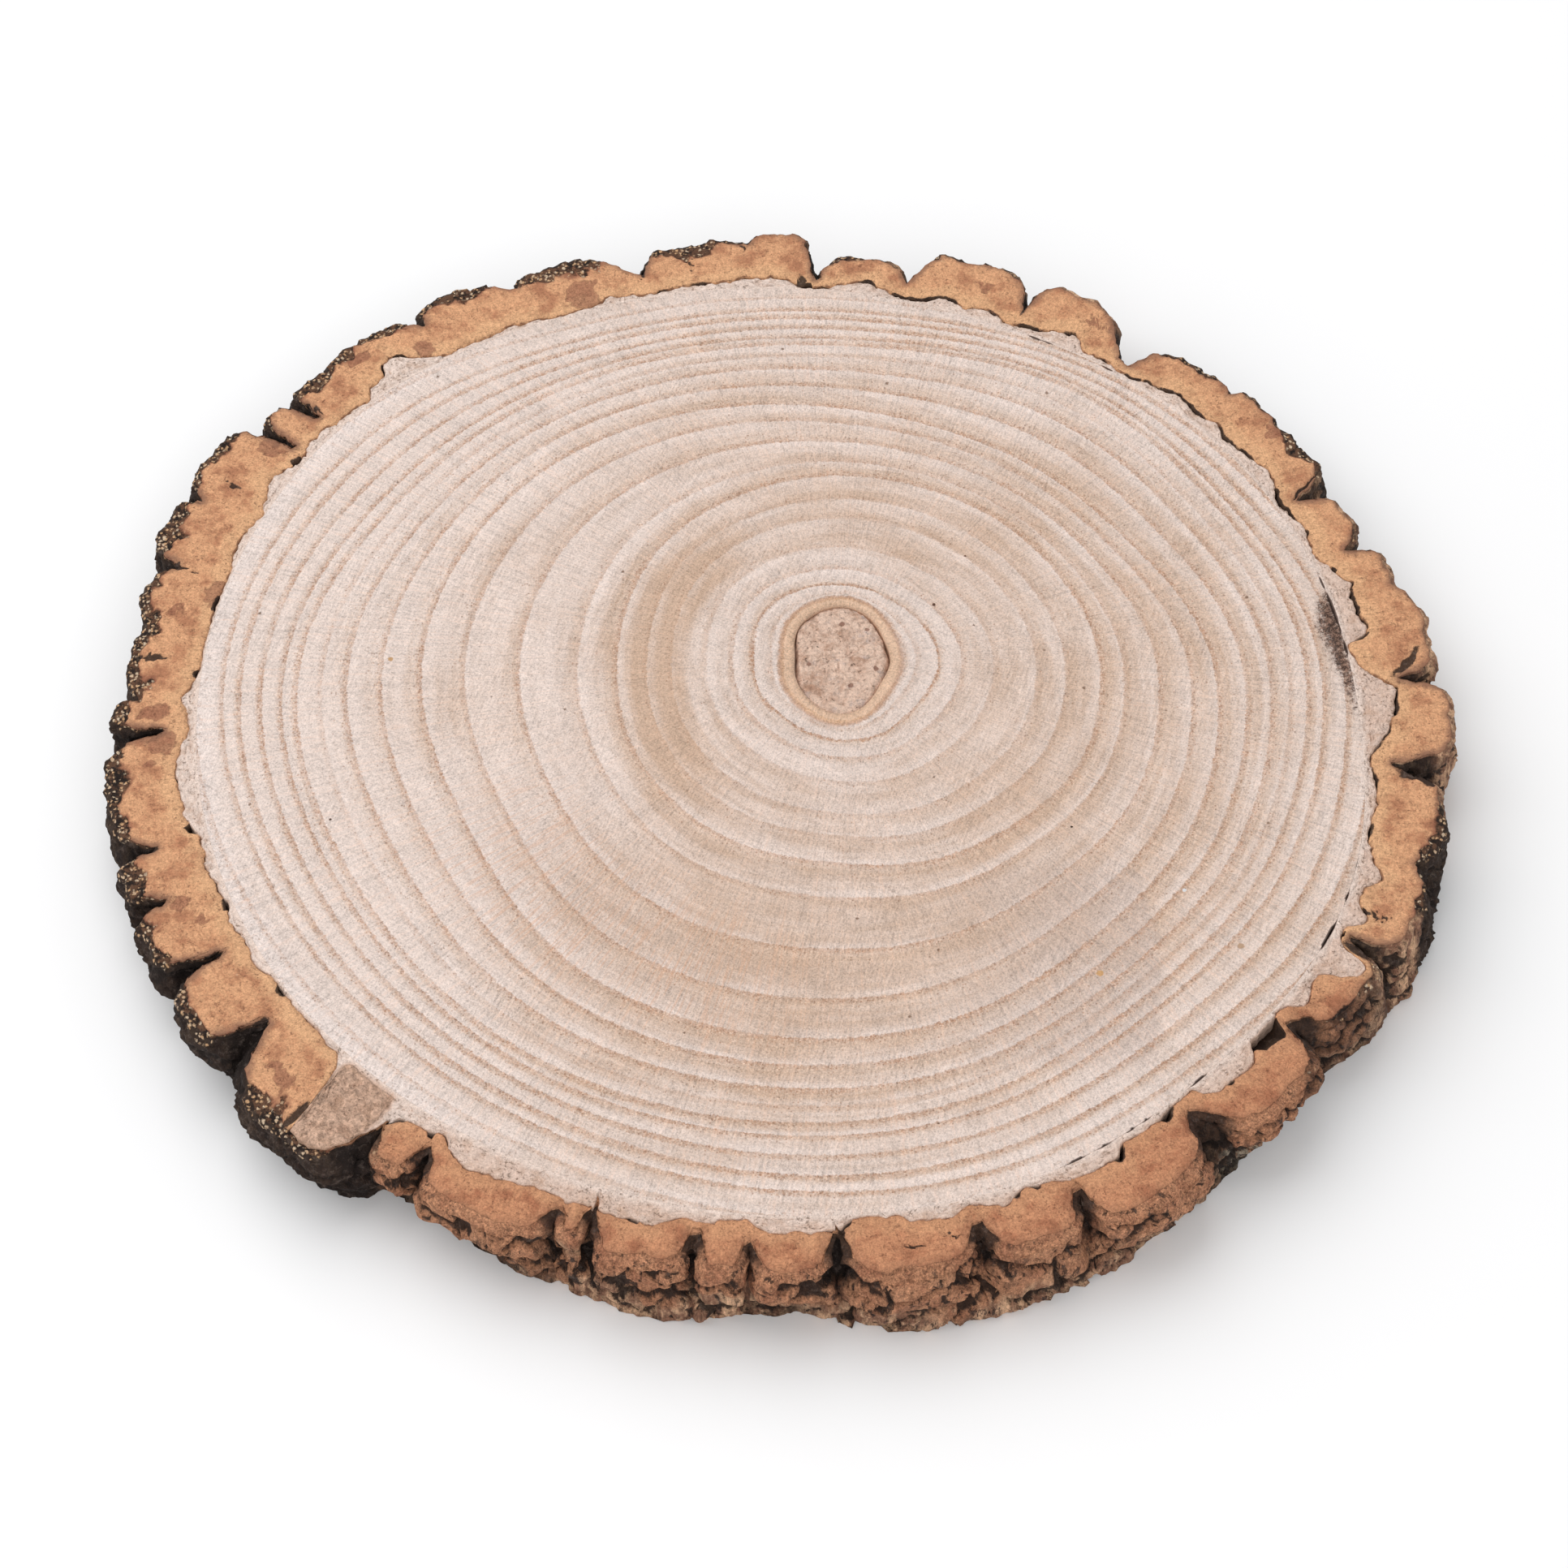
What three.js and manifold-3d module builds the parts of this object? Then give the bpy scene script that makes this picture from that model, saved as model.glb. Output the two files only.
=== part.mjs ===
// A slice sawn across a tree trunk: a round wooden disc with its bark on, lying flat.
// Millimetres, +Z up. The lower sawn face is on z = 0 and the origin is under the middle.
import * as THREE from "three";
import Module from "manifold-3d";
import { mergeVertices } from "three/addons/utils/BufferGeometryUtils.js";

// Driving dimensions
const thickness = 23; // between the two sawn faces
const plateSquareness = 5; // how flat-topped a bark plate is: 2 is round, 8 is nearly square
const stepAngle = 1.6; // degrees between outline points along a plate
const barkBulge = 1.2; // how far the bark stands out at half height
const pith = { x: 14, y: 16, halfWidth: 10, halfLength: 15, depth: 1.5 };

// The bark plates, anticlockwise from +X. Each begins at the furrow in front of it:
// furrow angle in degrees, radius at the bottom of that furrow, radius at the plate's crest,
// and where along the plate the crest is, from 0 to 1.
const barkPlates = [
  [4.2, 140.0, 150.3, 0.5],
  [15.0, 146.5, 147.6, 0.5],
  [20.0, 139.5, 144.5, 0.5],
  [27.6, 136.0, 146.8, 0.55],
  [36.3, 146.3, 147.3, 0.45],
  [42.2, 143.5, 145.4, 0.35],
  [51.6, 134.5, 148.0, 0.7],
  [64.6, 138.0, 148.0, 0.5],
  [76.8, 136.0, 142.5, 0.5],
  [86.2, 133.0, 149.6, 0.55],
  [93.0, 146.0, 147.8, 0.4],
  [103.9, 140.0, 149.2, 0.65],
  [116.0, 145.5, 151.8, 0.65],
  [125.9, 146.0, 151.9, 0.5],
  [136.0, 149.0, 151.2, 0.5],
  [141.0, 140.0, 150.4, 0.5],
  [145.2, 139.0, 155.0, 0.45],
  [155.0, 148.5, 153.3, 0.35],
  [162.8, 145.5, 149.4, 0.5],
  [169.0, 146.3, 148.0, 0.5],
  [178.0, 145.5, 149.5, 0.5],
  [182.0, 138.0, 150.5, 0.5],
  [195.3, 141.0, 150.5, 0.5],
  [201.0, 143.0, 151.0, 0.5],
  [208.5, 137.0, 151.0, 0.5],
  [217.3, 137.0, 153.5, 0.6],
  [232.8, 138.0, 145.5, 0.5],
  [237.5, 137.0, 147.0, 0.5],
  [250.8, 138.5, 143.5, 0.5],
  [253.6, 136.0, 146.5, 0.5],
  [263.0, 137.5, 145.5, 0.5],
  [267.5, 138.5, 147.0, 0.5],
  [275.0, 136.0, 148.0, 0.5],
  [287.2, 140.0, 149.5, 0.5],
  [296.3, 140.0, 150.5, 0.4],
  [309.3, 138.0, 149.5, 0.6],
  [322.7, 138.0, 147.5, 0.6],
  [333.5, 138.5, 150.3, 0.45],
  [343.5, 145.5, 149.7, 0.5],
  [353.9, 137.5, 151.9, 0.55],
];

// Materials
const wood = new THREE.MeshStandardMaterial({
  color: 0xdcc4ae,
  roughness: 0.85,
  metalness: 0,
});

// The radius at u, from 0 to 1, along one plate: a steep rise out of the furrow,
// a broad crest and a steep fall into the next furrow.
function plateRadius(furrow, crest, nextFurrow, crestAt, u) {
  const floor = THREE.MathUtils.lerp(furrow, nextFurrow, u);
  const leaned = u ** (Math.log(0.5) / Math.log(crestAt));
  const swell = 1 - Math.abs(2 * leaned - 1) ** plateSquareness;
  return floor + (crest - floor) * swell;
}

// The outline of the slice in polar form, with its points closer together near the furrows.
function barkOutline() {
  return barkPlates.flatMap(([start, furrow, crest, crestAt], i) => {
    const [nextStart, nextFurrow] = barkPlates[(i + 1) % barkPlates.length];
    const width = (nextStart - start + 360) % 360;
    const steps = Math.max(5, Math.round(width / stepAngle));
    return Array.from({ length: steps }, (_, k) => {
      const u = 0.5 - 0.5 * Math.cos((Math.PI * k) / steps);
      return {
        angle: THREE.MathUtils.degToRad(start + width * u),
        radius: plateRadius(furrow, crest, nextFurrow, crestAt, u),
      };
    });
  });
}

// The disc: the outline at four heights, joined by walls and closed by the two sawn faces.
// Its middle, in plan, is moved onto the origin.
function discGeometry() {
  const outline = barkOutline();
  const count = outline.length;
  const heights = [0, 0.3, 0.7, 1];
  const positions = [];
  for (const height of heights) {
    for (const { angle, radius } of outline) {
      const r = radius + barkBulge * Math.sin(Math.PI * height);
      positions.push(r * Math.cos(angle), r * Math.sin(angle), thickness * height);
    }
  }
  const lowerMiddle = positions.length / 3;
  positions.push(0, 0, 0);
  const upperMiddle = positions.length / 3;
  positions.push(0, 0, thickness);

  const faces = [];
  const upperRing = (heights.length - 1) * count;
  for (let i = 0; i < count; i++) {
    const next = (i + 1) % count;
    for (let ring = 0; ring < upperRing; ring += count) {
      faces.push(ring + i, ring + next, ring + count + next);
      faces.push(ring + i, ring + count + next, ring + count + i);
    }
    faces.push(lowerMiddle, next, i);
    faces.push(upperMiddle, upperRing + i, upperRing + next);
  }

  const geometry = new THREE.BufferGeometry();
  geometry.setAttribute("position", new THREE.Float32BufferAttribute(positions, 3));
  geometry.setIndex(faces);
  geometry.computeBoundingBox();
  const middle = geometry.boundingBox.getCenter(new THREE.Vector3());
  geometry.translate(-middle.x, -middle.y, 0);
  return { geometry, middle };
}

// The soft pith is worn into a shallow oval hollow in each sawn face.
function pithHollow(middle, height) {
  const hollow = new THREE.SphereGeometry(1, 28, 12);
  hollow.rotateX(Math.PI / 2);
  hollow.scale(pith.halfWidth, pith.halfLength, pith.depth);
  hollow.translate(pith.x - middle.x, pith.y - middle.y, height);
  return hollow;
}

// Cutting with manifold-3d
const wasm = await Module();
wasm.setup();

function toSolid(geometry) {
  const bare = geometry.clone();
  bare.deleteAttribute("normal");
  bare.deleteAttribute("uv");
  const merged = mergeVertices(bare, 1e-4);
  const mesh = new wasm.Mesh({
    numProp: 3,
    vertProperties: merged.attributes.position.array,
    triVerts: new Uint32Array(merged.index.array),
  });
  return new wasm.Manifold(mesh);
}

function toGeometry(solid) {
  const mesh = solid.getMesh();
  const geometry = new THREE.BufferGeometry();
  geometry.setAttribute("position", new THREE.BufferAttribute(mesh.vertProperties, 3));
  geometry.setIndex(new THREE.BufferAttribute(mesh.triVerts, 1));
  geometry.computeVertexNormals();
  return geometry;
}

// The slice
const disc = discGeometry();
const hollows = [0, thickness].map((height) => toSolid(pithHollow(disc.middle, height)));
const solid = hollows.reduce((rest, hollow) => rest.subtract(hollow), toSolid(disc.geometry));
const slice = new THREE.Mesh(toGeometry(solid), wood);
slice.name = "wood_slice";

const group = new THREE.Group();
group.add(slice);
export default group;
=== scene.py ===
import math
from itertools import product

import bpy
import numpy as np
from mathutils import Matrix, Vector
from mathutils.kdtree import KDTree


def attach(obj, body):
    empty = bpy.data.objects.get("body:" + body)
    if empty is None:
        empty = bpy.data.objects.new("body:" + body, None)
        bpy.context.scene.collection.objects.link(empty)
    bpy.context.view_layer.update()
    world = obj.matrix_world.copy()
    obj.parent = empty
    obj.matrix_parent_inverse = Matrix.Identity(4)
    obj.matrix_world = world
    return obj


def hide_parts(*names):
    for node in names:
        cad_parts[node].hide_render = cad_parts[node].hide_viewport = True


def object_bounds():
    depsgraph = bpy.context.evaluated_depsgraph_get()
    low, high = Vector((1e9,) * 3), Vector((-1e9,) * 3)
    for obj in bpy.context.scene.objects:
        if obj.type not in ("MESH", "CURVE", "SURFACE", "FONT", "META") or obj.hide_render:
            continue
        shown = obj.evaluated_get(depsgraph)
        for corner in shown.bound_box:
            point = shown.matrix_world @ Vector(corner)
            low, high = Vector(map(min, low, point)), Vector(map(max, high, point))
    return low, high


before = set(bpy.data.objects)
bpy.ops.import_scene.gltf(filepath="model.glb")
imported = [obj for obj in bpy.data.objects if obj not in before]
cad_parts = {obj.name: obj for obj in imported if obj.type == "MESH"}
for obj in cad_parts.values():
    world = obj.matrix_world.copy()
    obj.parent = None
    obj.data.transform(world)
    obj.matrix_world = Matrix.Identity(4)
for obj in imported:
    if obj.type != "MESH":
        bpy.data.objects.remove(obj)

cadLow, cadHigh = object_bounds()
metre = 0.001                                   # the shapes below are worked out in millimetres
thickness = (cadHigh.z - cadLow.z) / metre
print("frame loaded, slice", round(thickness, 1), "mm thick")


# numbers that run round the slice

primes = np.array([73856093, 19349663, 83492791])   # these set the cells of a grid far apart
seedStep, octaveStep = 7919, 104729


def scatter(key, shift, factor):                # turns each whole number into one that looks random
    return (key ^ (key >> shift)) * factor & 0xFFFFFFFF


def cloud(points, size, seed=0, octaves=1):     # soft lumpy noise from -1 to 1, lumps of about size mm
    total = np.zeros(points.shape[:-1])
    weight = 0
    for octave in range(octaves):
        p = points / np.asarray(size, float) * 2 ** octave + 17.3 * octave
        cell = np.floor(p).astype(np.int64)
        f = p - cell
        f = f * f * (3 - 2 * f)
        for corner in product((0, 1), repeat=3):
            c = np.array(corner)
            key = (cell + c) @ primes + seed * seedStep + octave * octaveStep
            key = scatter(scatter(key, 13, 1274126177), 16, 668265263)
            share = np.prod(np.where(c, f, 1 - f), axis=-1)
            total += (key / 2 ** 31 - 1) * share / 2 ** octave
        weight += 0.5 ** octave
    return total / weight * 1.6


def cells(points, size, seed=0):                # distance to the nearest grain, gap to the next, its number
    p = points / np.asarray(size, float)
    cell = np.floor(p).astype(np.int64)
    nearest = np.full(points.shape[:-1], 9.0)
    second = nearest.copy()
    number = np.zeros_like(nearest)
    for corner in product((-1, 0, 1), repeat=3):
        key = (cell + np.array(corner)) @ primes + seed * seedStep
        centre = []
        for turn in range(4):
            key = scatter(key, 15, 1274126177)
            centre.append(key / 2 ** 32)
        away = np.linalg.norm(p - cell - np.array(corner) - np.stack(centre[:3], -1), axis=-1)
        closer = away < nearest
        second = np.minimum(second, np.where(closer, nearest, away))
        number = np.where(closer, centre[3], number)
        nearest = np.minimum(nearest, away)
    return nearest, second - nearest, number


def ramp(low, high, x):                         # 0 below low, 1 above high, smooth between
    t = np.clip((x - low) / (high - low), 0, 1)
    return t * t * (3 - 2 * t)


def roundCurve(angle, values):                  # smooth closed curve through values at equal steps
    count = len(values)
    v = np.asarray(values, float)
    x = np.mod(angle, 360) / 360 * count
    i = np.floor(x).astype(int)
    f = x - i
    a, b, c, d = (v[(i + k) % count] for k in (-1, 0, 1, 2))
    return b + 0.5 * f * (c - a + f * (2 * a - 5 * b + 4 * c - d + f * (3 * (b - c) + d - a)))


def between(angle, start, end, soft=1.5):       # 1 inside a stretch of the rim, in degrees, 0 outside
    width = (end - start) % 360
    x = np.mod(angle - start + 180 - width / 2, 360) - 180 + width / 2
    return ramp(-soft, soft, x) * (1 - ramp(width - soft, width + soft, x))


# the outlines, as polar curves about the middle of the wood

outlines = {
    "squareness": 5,                            # how flat-topped a bark plate is
    # each plate: angle and radius of the furrow before it, radius of its crest, where the crest is
    "plates": [
        (4.2, 140.0, 150.3, 0.5), (15.0, 146.5, 147.6, 0.5), (20.0, 139.5, 144.5, 0.5),
        (27.6, 136.0, 146.8, 0.55), (36.3, 146.3, 147.3, 0.45), (42.2, 143.5, 145.4, 0.35),
        (51.6, 134.5, 148.0, 0.7), (64.6, 138.0, 148.0, 0.5), (76.8, 136.0, 142.5, 0.5),
        (86.2, 133.0, 149.6, 0.55), (93.0, 146.0, 147.8, 0.4), (103.9, 140.0, 149.2, 0.65),
        (116.0, 145.5, 151.8, 0.65), (125.9, 146.0, 151.9, 0.5), (136.0, 149.0, 151.2, 0.5),
        (141.0, 140.0, 150.4, 0.5), (145.2, 139.0, 155.0, 0.45), (155.0, 148.5, 153.3, 0.35),
        (162.8, 145.5, 149.4, 0.5), (169.0, 146.3, 148.0, 0.5), (178.0, 145.5, 149.5, 0.5),
        (182.0, 138.0, 150.5, 0.5), (195.3, 141.0, 150.5, 0.5), (201.0, 143.0, 151.0, 0.5),
        (208.5, 137.0, 151.0, 0.5), (217.3, 137.0, 153.5, 0.6), (232.8, 138.0, 145.5, 0.5),
        (237.5, 137.0, 147.0, 0.5), (250.8, 138.5, 143.5, 0.5), (253.6, 136.0, 146.5, 0.5),
        (263.0, 137.5, 145.5, 0.5), (267.5, 138.5, 147.0, 0.5), (275.0, 137.5, 148.0, 0.5),
        (287.2, 140.0, 149.5, 0.5), (296.3, 140.0, 150.5, 0.4), (309.3, 138.0, 149.5, 0.6),
        (322.7, 138.0, 147.5, 0.6), (333.5, 138.5, 150.3, 0.45), (343.5, 145.5, 149.7, 0.5),
        (353.9, 137.5, 151.9, 0.55),
    ],
    # where the wood ends, at 16 equal steps
    "wood": [130.4, 130.6, 130.9, 129.2, 130.2, 131.5, 134.2, 132.6,
             130.7, 129.8, 129.6, 130.1, 131.9, 133.9, 132.6, 133.9],
    # where the cream inner bark ends and the cork begins, angle and radius
    "innerBark": [
        (1, 138.5), (3.6, 139.8), (4.6, 134), (8.2, 131), (9.4, 132), (10, 136), (14, 135.4),
        (16.3, 136.4), (19.6, 132), (24, 133.5), (28, 131.6), (32, 135.3), (36.5, 134), (38, 132.6),
        (40.5, 135.5), (42, 132.6), (45, 135), (51.3, 131), (55.5, 132.8), (56.6, 131.2), (58, 135),
        (60, 134.6), (64.4, 130.3), (67, 133), (70, 132.3), (72.3, 134), (74, 131.2), (77, 130),
        (81, 134.5), (85, 131.5), (88.4, 131), (89.2, 134), (92, 134.2), (98, 132.8), (101, 133.2),
        (104, 131.8), (107.7, 135), (109, 132.8), (113, 132), (119, 134.8), (124, 134.6), (126, 134),
        (129.5, 140), (130.5, 143), (131.3, 143), (132, 139.4), (134, 138.8), (135.7, 135.2),
        (140, 136.3), (144.2, 137.2), (145, 134.8), (150, 137.9), (153.4, 133.8), (159, 134.8),
        (161, 132.8), (166, 131.6), (174.8, 131.3), (178, 134.3), (182, 131.9), (185, 135),
        (193, 134.5), (194.6, 131.6), (198, 132.3), (204, 131), (206, 133), (208, 131.2),
        (211.5, 131.8), (214, 130.5), (224.6, 130.8), (225.8, 133.5), (226.4, 138), (226.7, 146),
        (227, 153), (228.5, 155.5), (229.8, 155), (231, 152), (231.4, 145), (232.3, 138), (234.4, 133),
        (236.4, 134), (237.2, 131.6), (241, 137), (246, 135), (253, 135),
        (259, 136.2), (261, 133.6), (264, 135), (266.5, 132.5), (270, 136.3), (274.5, 136.2),
        (277, 133.2), (279, 133.3), (284.5, 137), (287, 134.6), (290.2, 137.4), (292, 135),
        (298, 138), (301, 137.6), (302.4, 134.8), (306.6, 135), (308, 132.8), (311, 133),
        (312.3, 137), (317.6, 137.8), (318.2, 134), (323.4, 133.8), (324.8, 137.8), (329.2, 136.5),
        (329.8, 145), (330.9, 145.6), (333.2, 136), (335.2, 136), (335.7, 141), (336.3, 141),
        (337, 136), (340.2, 137.8), (341, 141.5), (342.2, 136), (347, 134), (349.5, 134.8),
        (354.6, 132.2), (358, 137),
    ],
    # dark pockets between inner bark and cork: angle, half width in degrees, how far they open
    "pockets": [
        (9.6, 0.5, 1.2), (18.2, 0.4, 1.3), (29.3, 0.7, 0.9), (50.3, 1.2, 0.5), (75, 1.2, 0.5),
        (86.9, 0.5, 1.0), (130, 0.35, 0.9), (132.2, 0.4, 0.8), (146.4, 0.6, 1.0), (166, 1.2, 0.6),
        (175, 0.4, 1.2), (194, 0.6, 1.6), (203.6, 0.8, 0.9), (215.2, 0.8, 0.8), (233.6, 0.8, 1.0),
        (237, 0.35, 1.4), (257.2, 0.5, 0.9), (275.8, 0.8, 0.9), (291.6, 0.35, 1.0),
        (293.2, 0.4, 1.0), (301.6, 0.8, 1.5), (307.4, 0.7, 1.5), (314, 0.5, 0.8), (320.2, 1.9, 4.2),
        (336.8, 0.3, 1.0), (333.6, 0.4, 1.0), (346, 0.8, 0.5), (358, 1.0, 0.4),
    ],
    # the usual split between inner bark and cork, at 18 equal steps
    "barkGaps": [0.45, 0.55, 0.6, 0.6, 0.45, 0.3, 0.18, 0.1, 0.1,
                 0.1, 0.16, 0.1, 0.1, 0.06, 0.06, 0.08, 0.2, 0.2],
    # radius of the lower edge of the bark where it differs from the upper one, angle and radius
    "foot": [
        (190, 146), (208, 145), (216, 144.5), (222, 146), (228, 147), (232, 143), (234.5, 137.5),
        (240, 137.5), (246, 141), (256, 144.2), (261, 145), (266, 143.5), (270.5, 140.5), (274, 145),
        (280, 148), (288, 150), (295, 149.5), (302, 147), (309, 145), (314, 142), (318, 140),
        (324, 140), (327, 144), (331, 149), (340, 152), (350, 150.5), (358, 148),
    ],
    "front": (232, 330, 5),                     # the stretch that faces the camera, and how softly it ends
    # splits between wood and inner bark: start and end angle, how far they open
    "woodSplits": [(3, 20, 0.4), (52, 66, 0.25), (296, 318, 0.2), (329, 343, 0.35), (120, 135, 0.15)],
}


def plateRadius(angle, fill=0):                 # the bark's outline, and that of its crests alone
    rows = np.array(outlines["plates"])
    start = rows[:, 0]
    turned = np.mod(angle - start[0], 360) + start[0]
    i = np.searchsorted(start, turned, side="right") - 1
    following = (i + 1) % len(rows)
    width = np.mod(start[following] - start[i], 360)
    u = np.clip((turned - start[i]) / width, 1e-6, 1)
    crest = rows[i, 2]
    floor = rows[i, 1] * (1 - u) + rows[following, 1] * u
    floor = floor + (crest - floor) * fill
    leaned = u ** (math.log(0.5) / np.log(rows[i, 3]))
    swell = 1 - np.abs(2 * leaned - 1) ** outlines["squareness"]
    return floor + (crest - floor) * swell


def footRadius(angle):                          # the lower edge, where it has been chosen
    knots = np.array(outlines["foot"])
    return np.interp(angle, knots[:, 0], knots[:, 1])


def woodRadius(angle):
    return roundCurve(angle, outlines["wood"])


def innerBarkRadius(angle):
    knots = np.array(outlines["innerBark"])
    shifts = np.linspace(-0.7, 0.7, 7)          # their average rounds the corners off
    reach = np.mean([np.interp(angle + shift, *knots.T, period=360) for shift in shifts], axis=0)
    reach = reach + 0.55 * cloud(place(angle, 134, 0), 2.6, 21, 3)
    reach = np.minimum(reach, plateRadius(angle) - 2.2 - 1.4 * between(angle, *outlines["front"]))
    return np.maximum(reach, woodRadius(angle) + 0.6)


def barkGap(angle):
    patchy = 0.75 + 0.75 * cloud(place(angle, 134, 0), 5, 51, 2)
    gap = roundCurve(angle, outlines["barkGaps"]) * np.clip(patchy, 0.1, 1.6)
    for at, half, reach in outlines["pockets"]:
        away = np.abs(np.mod(angle - at + 180, 360) - 180) / half
        gap = np.maximum(gap, reach * (1 - ramp(0.6, 1.15, away)))
    return gap


def woodGap(angle):
    gap = np.full(np.shape(angle), 0.0)
    for start, end, reach in outlines["woodSplits"]:
        gap = np.maximum(gap, reach * between(angle, start, end, 3))
    patchy = 0.6 + 1.1 * cloud(place(angle, 131, 0), 3, 52, 2)
    return gap * np.clip(patchy, 0, 1.4)


fine = np.arange(0, 360, 0.05)
finePlate = plateRadius(fine)
fineX = finePlate * np.cos(np.radians(fine))
fineY = finePlate * np.sin(np.radians(fine))
# the frame's origin is under the middle of the outline's box, so the wood's own middle is a little off it
middleX = -(fineX.max() + fineX.min()) / 2
middleY = -(fineY.max() + fineY.min()) / 2


def place(angle, radius, z, x=0, y=0):          # polar, about (x, y) of the wood, to millimetres in the frame
    a = np.radians(angle)
    across = middleX + x + radius * np.cos(a)
    along = middleY + y + radius * np.sin(a)
    return np.stack(np.broadcast_arrays(across, along, z), -1).astype(float)


def fromMiddle(points):                         # x and y about the middle of the wood
    return points[..., 0] - middleX, points[..., 1] - middleY


# mesh and piece helpers

def ringMesh(name, points, cornerUv, **fields): # a closed ring of section rows and columns
    rows, columns = points.shape[:2]
    r, c = np.meshgrid(np.arange(rows), np.arange(columns), indexing="ij")
    steps = [(0, 0), (1, 0), (1, 1), (0, 1)]
    corners = np.stack([(r + dr) % rows * columns + (c + dc) % columns for dr, dc in steps], -1)
    mesh = bpy.data.meshes.new(name)
    mesh.from_pydata((points.reshape(-1, 3) * metre).tolist(), [], corners.reshape(-1, 4).tolist())
    uv = np.stack([np.stack(cornerUv(r, c, dr, dc), -1) for dr, dc in steps], -2)
    mesh.uv_layers.new(name="OFBake").data.foreach_set("uv", uv.reshape(-1).astype(np.float32))
    for field, values in fields.items():
        layer = mesh.attributes.new(field, "FLOAT", "POINT")
        spread = np.broadcast_to(values, (rows, columns))
        layer.data.foreach_set("value", spread.reshape(-1).astype(np.float32))
    mesh.polygons.foreach_set("use_smooth", np.ones(rows * columns, bool))
    mesh.update()
    piece = bpy.data.objects.new(name, mesh)
    bpy.context.scene.collection.objects.link(piece)
    return piece


def standFor(piece):                      # the piece rides with the slice and replaces its plain solid
    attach(piece, "root")
    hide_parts("wood_slice")
    return piece


# shader helpers

class Signal:                                   # a node's socket that can be used in sums
    def __init__(self, finish, socket):
        self.finish = finish
        self.socket = socket

    def maths(self, operation, *values):
        return self.finish.add("Math", {"operation": operation}, *values)

    def __add__(self, other):
        return self.maths("ADD", self, other)

    def __radd__(self, other):
        return self.maths("ADD", other, self)

    def __sub__(self, other):
        return self.maths("SUBTRACT", self, other)

    def __rsub__(self, other):
        return self.maths("SUBTRACT", other, self)

    def __mul__(self, other):
        return self.maths("MULTIPLY", self, other)

    def __rmul__(self, other):
        return self.maths("MULTIPLY", other, self)

    def __truediv__(self, other):
        return self.maths("DIVIDE", self, other)

    def __gt__(self, other):
        return self.maths("GREATER_THAN", self, other)


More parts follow.
